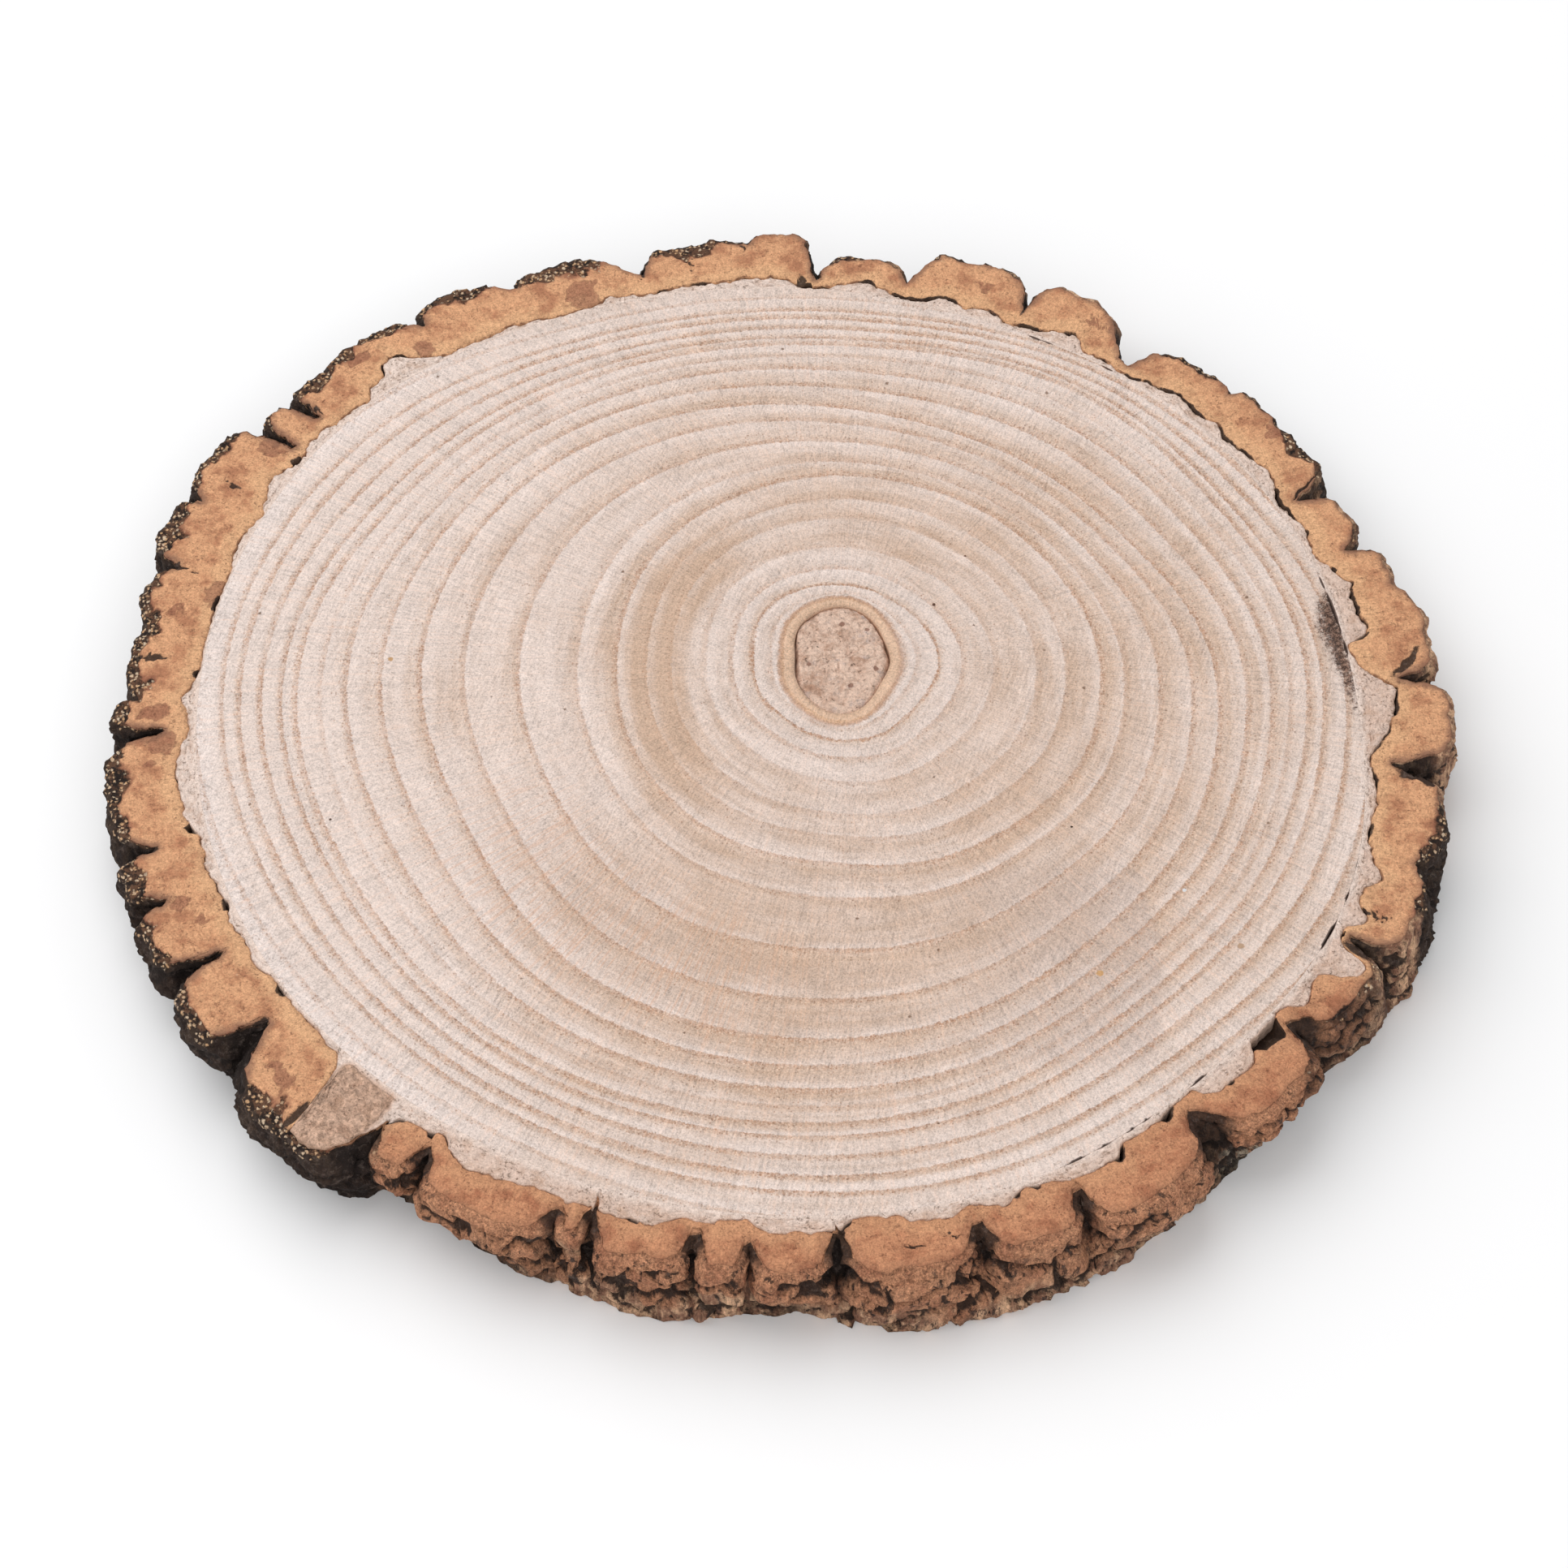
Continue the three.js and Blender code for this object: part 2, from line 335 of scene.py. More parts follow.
class Finish:                                   # a material and the nodes that make it
    def __init__(self, name):
        self.material = bpy.data.materials.new(name)
        self.material.use_nodes = True
        self.tree = self.material.node_tree
        self.tree.nodes.clear()

    def add(self, kind, settings, *inputs, out=0, **named):
        node = self.tree.nodes.new("ShaderNode" + kind)
        for key, value in settings.items():
            if key == "stops":
                self.setStops(node.color_ramp, value)
            else:
                setattr(node, key, value)
        for key, value in [*enumerate(inputs), *named.items()]:
            socket = node.inputs[key.replace("_", " ") if isinstance(key, str) else key]
            if isinstance(value, Signal):
                self.tree.links.new(value.socket, socket)
            elif value is not None:
                socket.default_value = value
        return Signal(self, node.outputs[out]) if node.outputs else None

    def setStops(self, colours, stops):
        while len(colours.elements) < len(stops):
            colours.elements.new(1)
        for element, (position, colour) in zip(colours.elements, stops):
            element.position = position
            element.color = (*colour, 1)

    def vector(self, operation, *values, **named):
        return self.add("VectorMath", {"operation": operation}, *values, **named)

    def field(self, name):                      # a number kept at the mesh's points
        return self.add("Attribute", {"attribute_name": name}, out=2)

    def where(self):                            # place on the object, in millimetres
        spot = self.add("TexCoord", {}, out=3)
        return self.vector("SCALE", spot, Scale=1 / metre)

    def stretch(self, spot, *scale):
        return self.vector("MULTIPLY", spot, scale)

    def polar(self, spot, x, y):                # direction and distance from an upright line
        level = self.stretch(self.vector("SUBTRACT", spot, (x, y, 0)), 1, 1, 0)
        return self.vector("NORMALIZE", level), self.vector("LENGTH", level, out=1)

    def fan(self, heading, scale, height):      # a place for noise that runs with the radii
        return self.vector("ADD", self.vector("SCALE", heading, Scale=scale),
                           self.add("CombineXYZ", {}, 0, 0, height))

    def noise(self, spot, size, detail=2, rough=0.5, out=0):
        return self.add("TexNoise", {}, Vector=spot, Scale=1 / size, Detail=detail, Roughness=rough, out=out)

    def sway(self, *settings):                  # the same noise, centred on 0
        return self.noise(*settings) - 0.5

    def scratches(self, spot, turn, along, *settings):  # noise drawn out along a direction, in degrees
        turned = self.add("VectorRotate", {"rotation_type": "Z_AXIS"}, Vector=spot, Angle=math.radians(turn))
        return self.sway(self.stretch(turned, along, 1, 1), *settings)

    def cells(self, spot, size, out=0):         # distance to the nearest grain
        return self.add("TexVoronoi", {}, Vector=spot, Scale=1 / size, out=out)

    def chance(self, spot, size):               # one random number for each grain
        return self.add("SeparateColor", {}, self.cells(spot, size, out=1))

    def ease(self, value, low, high, start=0, end=1):
        return self.add("MapRange", {"interpolation_type": "SMOOTHSTEP"}, value, low, high, start, end)

    def mix(self, factor, a, b, blend="MIX"):
        node = self.tree.nodes.new("ShaderNodeMix")
        node.data_type = "RGBA"
        node.blend_type = blend
        for index, value in ((0, factor), (6, a), (7, b)):
            if isinstance(value, Signal):
                self.tree.links.new(value.socket, node.inputs[index])
            else:
                node.inputs[index].default_value = (*value, 1) if isinstance(value, tuple) else value
        return Signal(self, node.outputs[2])

    def shade(self, colour, tone):              # the colour made lighter or darker
        return self.mix(1, colour, self.add("CombineColor", {}, tone, tone, tone), "MULTIPLY")

    def bump(self, height, distance):
        return self.add("Bump", {}, Height=height, Distance=distance * metre, Strength=1)

    def close(self, colour, roughness, normal, specular=0.25):
        shader = self.add("BsdfPrincipled", {}, Base_Color=colour, Roughness=roughness,
                          Normal=normal, Specular_IOR_Level=specular)
        self.add("OutputMaterial", {}, Surface=shader)
        return self.material


def put(piece, material):
    piece.data.materials.append(material)


# the view, the light and the floor

view = {
    "elevation": 53,                            # degrees above the floor
    "distance": 1000,                           # to the target, mm
    "target": (1.2, -20),                       # on the upper face, from the wood's middle, mm
    "lens": 103.4,
}


def makeCamera():
    camera = bpy.data.objects.new("camera", bpy.data.cameras.new("camera"))
    camera.data.lens = view["lens"]
    camera.data.sensor_width = 36
    tilt = math.radians(view["elevation"])
    target = Vector((middleX + view["target"][0], middleY + view["target"][1], thickness)) * metre
    back = Vector((0, -math.cos(tilt), math.sin(tilt)))
    camera.location = target + back * view["distance"] * metre
    camera.rotation_euler = (math.pi / 2 - tilt, 0, 0)
    bpy.context.scene.collection.objects.link(camera)
    bpy.context.scene.camera = camera


studio = {
    "sky": 0.56,                                # even light from all round
    "lamps": [                                  # place in metres, size, power
        ((-0.65, 0.55, 1.3), 2.2, 17),
        ((0.1, -1.5, 1.1), 1.6, 9),
    ],
    "floor": (0.96, 0.96, 0.965),
    "floorHalf": 6,                             # metres
}


def makeStudio():
    world = bpy.data.worlds.new("sky")
    world.use_nodes = True
    world.node_tree.nodes["Background"].inputs["Color"].default_value = (1, 1, 1, 1)
    world.node_tree.nodes["Background"].inputs["Strength"].default_value = studio["sky"]
    bpy.context.scene.world = world
    for number, (spot, size, power) in enumerate(studio["lamps"]):
        lamp = bpy.data.lights.new("lamp%d" % number, "AREA")
        lamp.shape = "DISK"
        lamp.size = size
        lamp.energy = power
        holder = bpy.data.objects.new("lamp%d" % number, lamp)
        holder.location = spot
        holder.rotation_mode = "QUATERNION"
        holder.rotation_quaternion = (-Vector(spot)).to_track_quat("-Z", "Y")
        bpy.context.scene.collection.objects.link(holder)
    mesh = bpy.data.meshes.new("floor")
    half = studio["floorHalf"]
    corners = [(-half, -half, 0), (half, -half, 0), (half, half, 0), (-half, half, 0)]
    mesh.from_pydata(corners, [], [(0, 1, 2, 3)])
    floor = bpy.data.objects.new("floor", mesh)
    bpy.context.scene.collection.objects.link(floor)
    finish = Finish("floor")
    put(floor, finish.close((*studio["floor"], 1), 0.9, None, 0.1))
    bpy.context.scene.view_settings.view_transform = "Standard"
    bpy.context.scene.view_settings.look = "None"


makeCamera()
makeStudio()
print("camera, lamps and floor")


# wood

woodLook = {
    "columns": 480,
    "upperRows": 110,
    "lowerRows": 60,
    "pithMiddle": (14.0, 16.0),
    "pithHalf": (10.7, 15.6),
    # five guide rings, as shares of the way from pith to bark, at every 30 degrees round the pith
    "guides": [
        [0.11, 0.10, 0.075, 0.065, 0.075, 0.078, 0.075, 0.07, 0.06, 0.06, 0.08, 0.095],
        [0.455, 0.445, 0.428, 0.40, 0.36, 0.32, 0.30, 0.30, 0.31, 0.315, 0.375, 0.425],
        [0.70, 0.635, 0.62, 0.615, 0.635, 0.63, 0.63, 0.605, 0.655, 0.665, 0.66, 0.675],
        [0.90, 0.875, 0.885, 0.82, 0.805, 0.79, 0.835, 0.81, 0.825, 0.825, 0.81, 0.835],
        [1.03, 0.985, 0.965, 0.905, 0.89, 0.905, 0.93, 0.90, 0.905, 0.925, 0.93, 0.975],
    ],
    # each ring: its place among the guides, strength of its line, width of its porous band in mm
    "rings": [
        (0.0, 0.0, 1.0), (0.25, 0.9, 1.5), (0.5, 0.35, 1.5), (0.95, 1.5, 3.5), (1.13, 0.6, 2.5),
        (1.33, 0.25, 4.0), (1.6, 0.75, 4.0), (1.78, 0.35, 4.5), (2.0, 0.95, 5.0), (2.2, 0.5, 3.5),
        (2.5, 0.85, 5.0), (2.78, 0.75, 4.5), (3.0, 1.1, 5.0), (3.32, 0.95, 5.0), (3.6, 0.9, 3.0),
        (3.8, 0.4, 2.2), (4.0, 1.0, 3.0), (4.25, 1.1, 2.2), (4.62, 1.1, 2.0), (5.0, 1.1, 2.4),
        (5.3, 1.0, 1.8), (5.8, 0.5, 1.5), (6.3, 0.3, 1.5),
    ],
}


def pithEdge(angle):                            # radius of the oval pith about its own middle
    a = np.radians(angle)
    across, along = woodLook["pithHalf"]
    oval = 1 / np.sqrt((np.cos(a) / across) ** 2 + (np.sin(a) / along) ** 2)
    return oval + 0.35 * np.sin(3 * a + 1) + 0.25 * np.sin(5 * a + 2.2)


def woodEdge(angle):                            # distance from the pith's middle to the edge of the wood
    pithX, pithY = woodLook["pithMiddle"]
    a = np.radians(angle)
    near, far = np.zeros_like(a), np.full_like(a, 200.0)
    for _ in range(30):
        reach = (near + far) / 2
        x, y = pithX + reach * np.cos(a), pithY + reach * np.sin(a)
        inside = np.hypot(x, y) < woodRadius(np.degrees(np.arctan2(y, x)))
        near, far = np.where(inside, reach, near), np.where(inside, far, reach)
    return near


def ringCount(angle, share):                    # rings crossed from the pith, whole numbers on the lines
    guides = [np.zeros_like(angle)] + [roundCurve(angle, g) for g in woodLook["guides"]]
    guides.append(2 * guides[-1] - guides[-2])
    age = np.zeros(np.broadcast(angle, share).shape)
    for inner, outer in zip(guides, guides[1:]):
        age += np.clip((share - inner) / (outer - inner), 0, 1)
    places = [ring[0] for ring in woodLook["rings"]]
    return np.interp(age, places, np.arange(len(places)))


def ringSpacing(angle, share, reach):           # mm from one ring to the next at each point
    fineShare = np.linspace(0, 1.02, 800)
    fineRings = ringCount(angle[None, :], fineShare[:, None])
    slope = np.gradient(fineRings, fineShare, axis=0) / reach
    slope = np.maximum(slope, 0.001)            # it would be 0 past the last ring
    return np.stack([1 / np.interp(share[:, c], fineShare, slope[:, c]) for c in range(len(angle))], 1)


def woodTan(points, around, aboutPith, share):  # how warm the wood's colour is
    # warmer near the pith and to the lower right of it, paler outside and on the left
    tan = 0.3 * (1 - ramp(0.45, 0.9, share)) * ramp(0.1, 0.2, share)
    tan += 0.7 * between(aboutPith, 130, 225, 14) * ramp(0.175, 0.205, share) * (1 - ramp(0.25, 0.33, share))
    tan -= 0.25 * between(aboutPith, 125, 235, 20) * ramp(0.33, 0.4, share)
    tan += 0.25 * between(around, 235, 330, 25) * ramp(0.3, 0.45, share) * (1 - 0.6 * ramp(0.8, 0.95, share))
    tan += 0.2 * between(around, 320, 40, 20) * ramp(0.2, 0.4, share)
    tan += 0.22 * between(aboutPith, 40, 110, 25) * ramp(0.13, 0.2, share) * (1 - ramp(0.3, 0.5, share))
    tan += 0.16 * cloud(points, 22, 5, 3)
    tan += 0.2 * between(around, 245, 290, 12) * ramp(0.85, 0.95, share)
    return np.clip(tan, -0.3, 1)


def faceUv(x, y, firstWall, firstLower, lastLower):     # both faces laid flat on the bake sheet
    upperHalf, lowerHalf = 0.325, 0.25          # radii of the two faces on the bake sheet
    span = 136.0                                # mm from the middle to the edge of a face's square
    rows, columns = x.shape
    upperMiddle, lowerMiddle = upperHalf + 0.005, 1 - lowerHalf - 0.005

    def cornerUv(r, c, dr, dc):
        rr, cc = (r + dr) % rows, (c + dc) % columns
        px, py = x[rr, cc] / span, y[rr, cc] / span
        upperFace, lowerFace = r < firstWall, (r >= firstLower) & (r < lastLower)
        half = np.where(upperFace, upperHalf, lowerHalf)
        middle = np.where(upperFace, upperMiddle, lowerMiddle)
        outerStrip = (r >= firstWall) & (r < firstLower)
        wallV = np.where(outerStrip, 0.02 + 0.012 * (r + dr - firstWall), 0.09 + 0.012 * (r + dr - lastLower))
        onWall = ~(upperFace | lowerFace)
        u = np.where(onWall, 0.68 + 0.3 * (c + dc) / columns, middle + px * half)
        return u, np.where(onWall, wallV, middle + py * half)

    return cornerUv


def makeWood():
    look = woodLook
    columns = look["columns"]
    angle = np.arange(columns) * 360 / columns
    pithX, pithY = look["pithMiddle"]
    a = np.radians(angle)
    inner = pithEdge(angle) + 0.12
    full = woodEdge(angle)
    edgeAngle = np.degrees(np.arctan2(pithY + full * np.sin(a), pithX + full * np.cos(a)))
    outer = full - woodGap(edgeAngle) / 2

    def level(shares, z):
        return place(angle, inner + (outer - inner) * shares[:, None], z, pithX, pithY)

    nearRim = 0.9996                            # a row close to the edge keeps the corner crisp
    upper = np.append(np.linspace(0, nearRim, look["upperRows"] - 1), 1)
    lower = np.insert(np.linspace(nearRim, 0, look["lowerRows"] - 1), 0, 1)
    walls = [thickness - 1.5, thickness / 2, 1.5]
    outerWall = np.concatenate([level(np.array([1.0]), z) for z in walls])
    innerWall = np.concatenate([level(np.array([0.0]), z) for z in walls[::-1]])
    points = np.concatenate([level(upper, thickness), outerWall, level(lower, 0), innerWall])
    shares = np.concatenate([upper, np.ones(3), lower, np.zeros(3)])[:, None]
    distance = inner + (outer - inner) * shares
    share = (distance - pithEdge(angle)) / (full - pithEdge(angle))
    rings = ringCount(angle[None, :], share)
    spacing = ringSpacing(angle, share, full - pithEdge(angle))

    x, y = fromMiddle(points)
    around = np.degrees(np.arctan2(y, x)) % 360
    radius = np.hypot(x, y)
    aboutPith = np.broadcast_to(angle[None, :], radius.shape)
    firstWall = look["upperRows"] - 1
    firstLower = look["upperRows"] + 3
    lastLower = firstLower + look["lowerRows"] - 1

    # the soft bands of each ring are worn a little lower than the hard ones
    outward = np.mod(rings, 1) * spacing
    worn = ramp(0, 0.5, outward) * (1 - ramp(0.8, 2.4, outward)) * ramp(0.03, 0.06, share)
    relief = 0.05 * cloud(points, 14, 3, 2) - 0.045 - 0.05 * worn
    relief -= 0.25 * ramp(1.2, 0.2, distance - inner)
    crumbly = 1 - ramp(0.6, 3.5, outer - distance + 1.2 * cloud(points, 3, 6))
    relief -= crumbly * (0.05 + 0.2 * np.abs(cloud(points, 1.3, 8, 2)))
    relief *= ramp(0, 1.5, outer - distance)
    points[: firstWall + 1, :, 2] += relief[: firstWall + 1]
    points[firstLower: lastLower + 1, :, 2] -= np.minimum(relief[firstLower: lastLower + 1], 0)

    streaks = between(aboutPith, 208, 262, 12) * ramp(0.38, 0.5, share) * (1 - ramp(0.62, 0.75, share))
    # the sander stopped along a shallow arc near the lower right, and left a greyer face inside it
    arc = 82.3 - 0.005 * (y + 72) ** 2
    sanded = ramp(-0.3, 0.3, arc - x) * ramp(-97, -91, y) * (1 - ramp(-48, -38, y)) * ramp(25, 70, x)
    # a dark bruise along the bark on the right
    bruiseInner = np.interp((around + 20) % 360 - 20, [-2, 1, 3.5, 6, 9, 12, 14.5, 17],
                            [130.4, 129.2, 128.2, 127, 125.6, 125.8, 127.6, 131])
    bruise = ramp(-2.2, 3.2, radius - bruiseInner) * between(around, 357, 17.5, 3)
    bruise *= 1 - 0.45 * ramp(1.6, 0.2, outer - distance)
    # split: the wood's edge where it has parted from the inner bark, which the finish paints near black:
    # painted shade in the split
    split = ramp(0.9, 0.1, outer - distance) * ramp(0.08, 0.22, woodGap(edgeAngle))
    pale = ramp(0.955, 0.985, share) * between(around, 130, 240, 8)
    onUpper = np.zeros(points.shape[:2])
    onUpper[: firstWall + 1] = 1
    piece = ringMesh(
        "wood", points, faceUv(x, y, firstWall, firstLower, lastLower),
        rings=rings, spacing=spacing, tan=woodTan(points, around, aboutPith, share), streaks=streaks,
        sanded=sanded * onUpper, bruise=bruise, share=share, pale=pale, crumbly=crumbly, split=split)
    return standFor(piece)


woodPaint = {
    "pale": (0.77, 0.64, 0.575),                # hard bands of the sapwood
    "warm": (0.60, 0.42, 0.31),                 # further in
    "line": (0.52, 0.30, 0.195),                # growth ring lines
    "pore": (0.42, 0.22, 0.135),
    "grey": (0.56, 0.445, 0.39),
    "white": (0.82, 0.705, 0.655),
    "dots": (0.80, 0.61, 0.48),
    "bruise": (0.035, 0.016, 0.011),
    "bruiseLight": (0.30, 0.175, 0.125),
    "halo": (0.74, 0.45, 0.26),                 # round the pith
    "speck": (0.2, 0.1, 0.05),
    # small marks: x and y from the wood's middle, size in mm, colour
    "marks": [
        (69.2, -71.0, 0.9, (0.62, 0.36, 0.17)), (100.0, -63.8, 0.9, (0.5, 0.33, 0.22)),
        (64.6, -31.8, 0.35, (0.05, 0.03, 0.02)), (88.6, -49.0, 0.55, (0.75, 0.74, 0.75)),
        (-88.0, 15.5, 0.7, (0.55, 0.33, 0.17)), (35.5, 31.5, 0.5, (0.12, 0.06, 0.04)),
        (43.0, 46.0, 0.35, (0.16, 0.08, 0.05)), (-99.0, -29.7, 0.35, (0.1, 0.06, 0.04)),
    ],
}


def ringLines(f, spot, heading):                # the growth rings, each with its line and its porous band
    spacing = f.field("spacing")
    wobble = f.sway(spot, 1.5, 3, 0.7) * 1.3 + f.sway(spot, 0.5, 1) * 0.9
    rings = f.field("rings") + wobble / spacing
    phase = f.add("Math", {"operation": "FRACT"}, rings)
    number = f.add("Math", {"operation": "FLOOR"}, rings)
    count = len(woodLook["rings"])
    widest = 6
    stops = [((i + 0.02) / count, (line / 2, width / widest, 0))
             for i, (_, line, width) in enumerate(woodLook["rings"])]
    table = f.add("ValToRGB", {"stops": stops}, (number + 0.1) / count)
    table.socket.node.color_ramp.interpolation = "CONSTANT"
    strength = f.add("SeparateColor", {}, table) * 2
    bandWidth = f.add("SeparateColor", {}, table, out=1) * widest
    outward = phase * spacing                   # mm outside the ring's line
    inward = (1 - phase) * spacing
    patchy = f.ease(f.noise(spot, 11, 3), 0.3, 0.65, 0.45, 1.15)
    beads = f.ease(f.cells(spot, 0.8), 0.66, 0.3, 0.55, 1.3)
    core = f.ease(outward, 0, 0.3) * f.ease(outward, 2.0, 0.6) * strength * patchy * beads
    thin = f.ease(outward, 0, 0.15) * f.ease(outward, 0.8, 0.3) * strength * patchy
    band = f.ease(outward, 0, 1.0) * f.ease(outward, bandWidth * 1.3, bandWidth * 0.3)
    band = band * (strength * 0.5 + 0.25)
    strands = f.sway(f.fan(heading, 1.6, rings * 2.6), 1, 4, 0.75)
    late = f.ease(inward, 3.2, 0) * f.ease(outward, 1, 3)
    return wobble, core, thin, band, late, strands


def woodFinish():
    paint = woodPaint
    f = Finish("sawn wood")
    spot = f.where()
    pithX, pithY = woodLook["pithMiddle"]
    heading, reach = f.polar(spot, middleX + pithX, middleY + pithY)
    rays = f.sway(f.fan(heading, 170, reach * 0.12), 1, 2, 0.6)
    grit = f.sway(spot, 0.42, 2, 0.8)

    wobble, core, thin, band, late, strands = ringLines(f, spot, heading)

    # pores: small dots, crowded along the ring lines and sparse elsewhere
    dots = f.cells(spot, 0.5)
    chance = f.chance(spot, 0.5)
    pore = f.ease(dots, 0.5, 0.25) * f.ease(core * 0.5 + band * 0.14 - chance, -0.05, 0.05)
    paleDots = f.ease(f.cells(spot, 0.6), 0.5, 0.2) * f.ease(core * 0.5 + band * 0.5, 0.05, 0.6)

    tan = f.field("tan") + f.sway(spot, 14, 4) * 0.6 + band * 0.42 - late * 0.12 + strands * 1.3
    colour = f.mix(f.ease(tan, -0.25, 1.1), paint["pale"], paint["warm"])
    colour = f.mix(f.field("pale") * 0.8, colour, paint["white"])
    colour = f.mix(f.field("sanded") * 0.6, colour, paint["grey"])
    colour = f.mix(late * f.ease(f.noise(spot, 9, 3), 0.35, 0.65) * 0.3, colour, paint["white"])
    colour = f.mix(f.ease(rays + grit * 0.3, 0, 0.25) * 0.25, colour, paint["line"])
    colour = f.mix(f.field("streaks") * f.ease(rays, -0.02, 0.12) * 0.4, colour, paint["line"])
    colour = f.mix(core * 0.5, colour, paint["line"])
    colour = f.mix(thin * 0.22, colour, paint["pore"])
    colour = f.mix(pore * 0.6, colour, paint["pore"])
    colour = f.mix(paleDots * 0.6, colour, paint["dots"])
    crumbs = f.ease(f.noise(spot, 0.9, 3, 0.7), 0.57, 0.7) * f.field("crumbly")
    colour = f.mix(crumbs * 0.4, colour, paint["line"])
    halo = f.field("share") + wobble * 0.008
    colour = f.mix(f.ease(halo, 0.03, 0.02) * 0.65, colour, paint["halo"])
    colour = f.mix(f.ease(halo, 0.018, 0.024) * f.ease(halo, 0.033, 0.027) * 0.6, colour, paint["line"])

    # rays, saw marks and the grain of the cut shift the tone a little
    saw = f.scratches(spot, -72, 0.09, 0.5, 2, 0.6) * f.ease(f.noise(spot, 26, 2), 0.35, 0.65, 0.35, 1.0)
    cross = f.scratches(spot, 35, 0.06, 0.7, 1)
    tone = 1.01 + rays * 0.65 + saw * 0.6 + cross * 0.25 + grit * 1.25 - strands * 0.3
    colour = f.shade(colour, tone)

    bruise = f.field("bruise")
    mottle = rays * 0.12 + grit * 1.4 + f.sway(spot, 1.3, 4, 0.75) * 1.9
    bruise = f.ease(bruise + mottle * f.ease(bruise, 0, 0.2), 0.1, 0.75)
    flecks = f.ease(f.noise(spot, 0.75, 4, 0.85), 0.44, 0.62)
    colour = f.mix(bruise * 0.96, colour, f.mix(flecks, paint["bruise"], paint["bruiseLight"]))
    # painted shade in the split along the wood's edge
    split = f.ease(f.field("split") + grit * 0.35, 0.72, 0.92)
    colour = f.mix(split * 0.85, colour, paint["bruise"])
    for markX, markY, size, tint in paint["marks"]:
        markPlace = (middleX + markX, middleY + markY, thickness)
        away = f.vector("DISTANCE", spot, markPlace, out=1)
        mark = f.ease(away + f.sway(spot, 0.7) * size, size, size * 0.7)
        colour = f.mix(mark, colour, tint)
    specks = f.cells(spot, 9)
    speckChance = f.chance(spot, 9)
    speck = f.ease(specks + grit * 0.06, 0.05, 0.025) * (speckChance > 0.5)
    colour = f.mix(speck * 0.75, colour, paint["speck"])

    height = rays * 0.5 + saw * 0.8 + cross * 0.3 + grit * 1.2 - pore * 0.4 - speck - crumbs * 0.5
    return f.close(colour, 0.74, f.bump(height, 0.24), 0.2)


# pith

pithLook = {
    "columns": 180,
    "rows": 40,
    "sunk": 0.45,                               # below the sawn face, mm
    "gap": 0.14,                                # between pith and wood, mm
    # where the gap is wider: start and end angle, softness, how much wider
    "cracks": [(150, 215, 12, 0.65), (330, 25, 10, 0.65), (35, 70, 8, 0.39)],
    "cream": (0.80, 0.58, 0.46),
    "brown": (0.50, 0.30, 0.21),
    "grey": (0.50, 0.41, 0.39),
    # painted shade in the pith's holes
    "hollow": (0.10, 0.055, 0.04),
    "red": (0.27, 0.13, 0.09),
}


def makePith():
    look = pithLook
    columns = look["columns"]
    angle = np.arange(columns) * 360 / columns
    steps = np.linspace(0.03, 1, look["rows"])
    cracked = np.full(columns, look["gap"])
    for start, end, soft, share in look["cracks"]:
        cracked += share * between(angle, start, end, soft)

    def face(z, up):
        points = place(angle, (pithEdge(angle) - cracked) * steps[:, None], z, *woodLook["pithMiddle"])
        _, split, number = cells(points + 0.8 * cloud(points, 2, 12)[..., None], 3.0, 4)
        lumps = 0.28 * cloud(points, 3.2, 11, 3) + 0.3 * (number - 0.5) - 0.35 * (1 - ramp(0.0, 0.15, split))
        lumps -= 0.45 * ramp(0.93, 1, steps)[:, None] + look["sunk"]
        points[..., 2] += up * np.minimum(lumps, 0)
        return points

    upper = face(thickness, 1)
    lower = face(0.0, -1)[::-1]
    side = pithEdge(angle) + 0.05
    wall = [place(angle, side, z, *woodLook["pithMiddle"]) for z in (thickness - 3, thickness / 2, 3.0)]
    rows = np.concatenate([upper, np.stack(wall), lower])
    count = len(rows)
    points = np.concatenate([rows.reshape(-1, 3), [rows[0].mean(0), rows[-1].mean(0)]])
    tip = count * columns

    def sheet(r, c):                            # the two faces beside each other, the wall below them
        if look["rows"] <= r <= look["rows"] + 2:
            return 0.02 + 0.96 * c / columns, 0.02 + 0.02 * (r - look["rows"])
        ring = r if r < look["rows"] else count - 1 - r
        half = 0.24 * (ring + 1) / look["rows"]
        turn = 2 * math.pi * c / columns
        middle = 0.25 if r < look["rows"] else 0.75
        return middle + half * math.cos(turn), 0.55 + 1.6 * half * math.sin(turn)

    faces, uvs = [], []
    for r, c in product(range(count - 1), range(columns)):
        d = (c + 1) % columns
        faces.append((r * columns + c, (r + 1) * columns + c, (r + 1) * columns + d, r * columns + d))
        uvs += [sheet(r, c), sheet(r + 1, c), sheet(r + 1, c + 1), sheet(r, c + 1)]
    for c in range(columns):
        d = (c + 1) % columns
        last = tip - columns
        faces += [(tip, c, d), (tip + 1, last + d, last + c)]
        uvs += [(0.25, 0.55), sheet(0, c), sheet(0, c + 1)]
        uvs += [(0.75, 0.55), sheet(count - 1, c + 1), sheet(count - 1, c)]
    mesh = bpy.data.meshes.new("pith")
    mesh.from_pydata((points * metre).tolist(), [], faces)
    mesh.uv_layers.new(name="OFBake").data.foreach_set("uv", np.array(uvs, np.float32).reshape(-1))
    mesh.polygons.foreach_set("use_smooth", np.ones(len(faces), bool))
    mesh.update()
    piece = bpy.data.objects.new("pith", mesh)
    bpy.context.scene.collection.objects.link(piece)
    return standFor(piece)


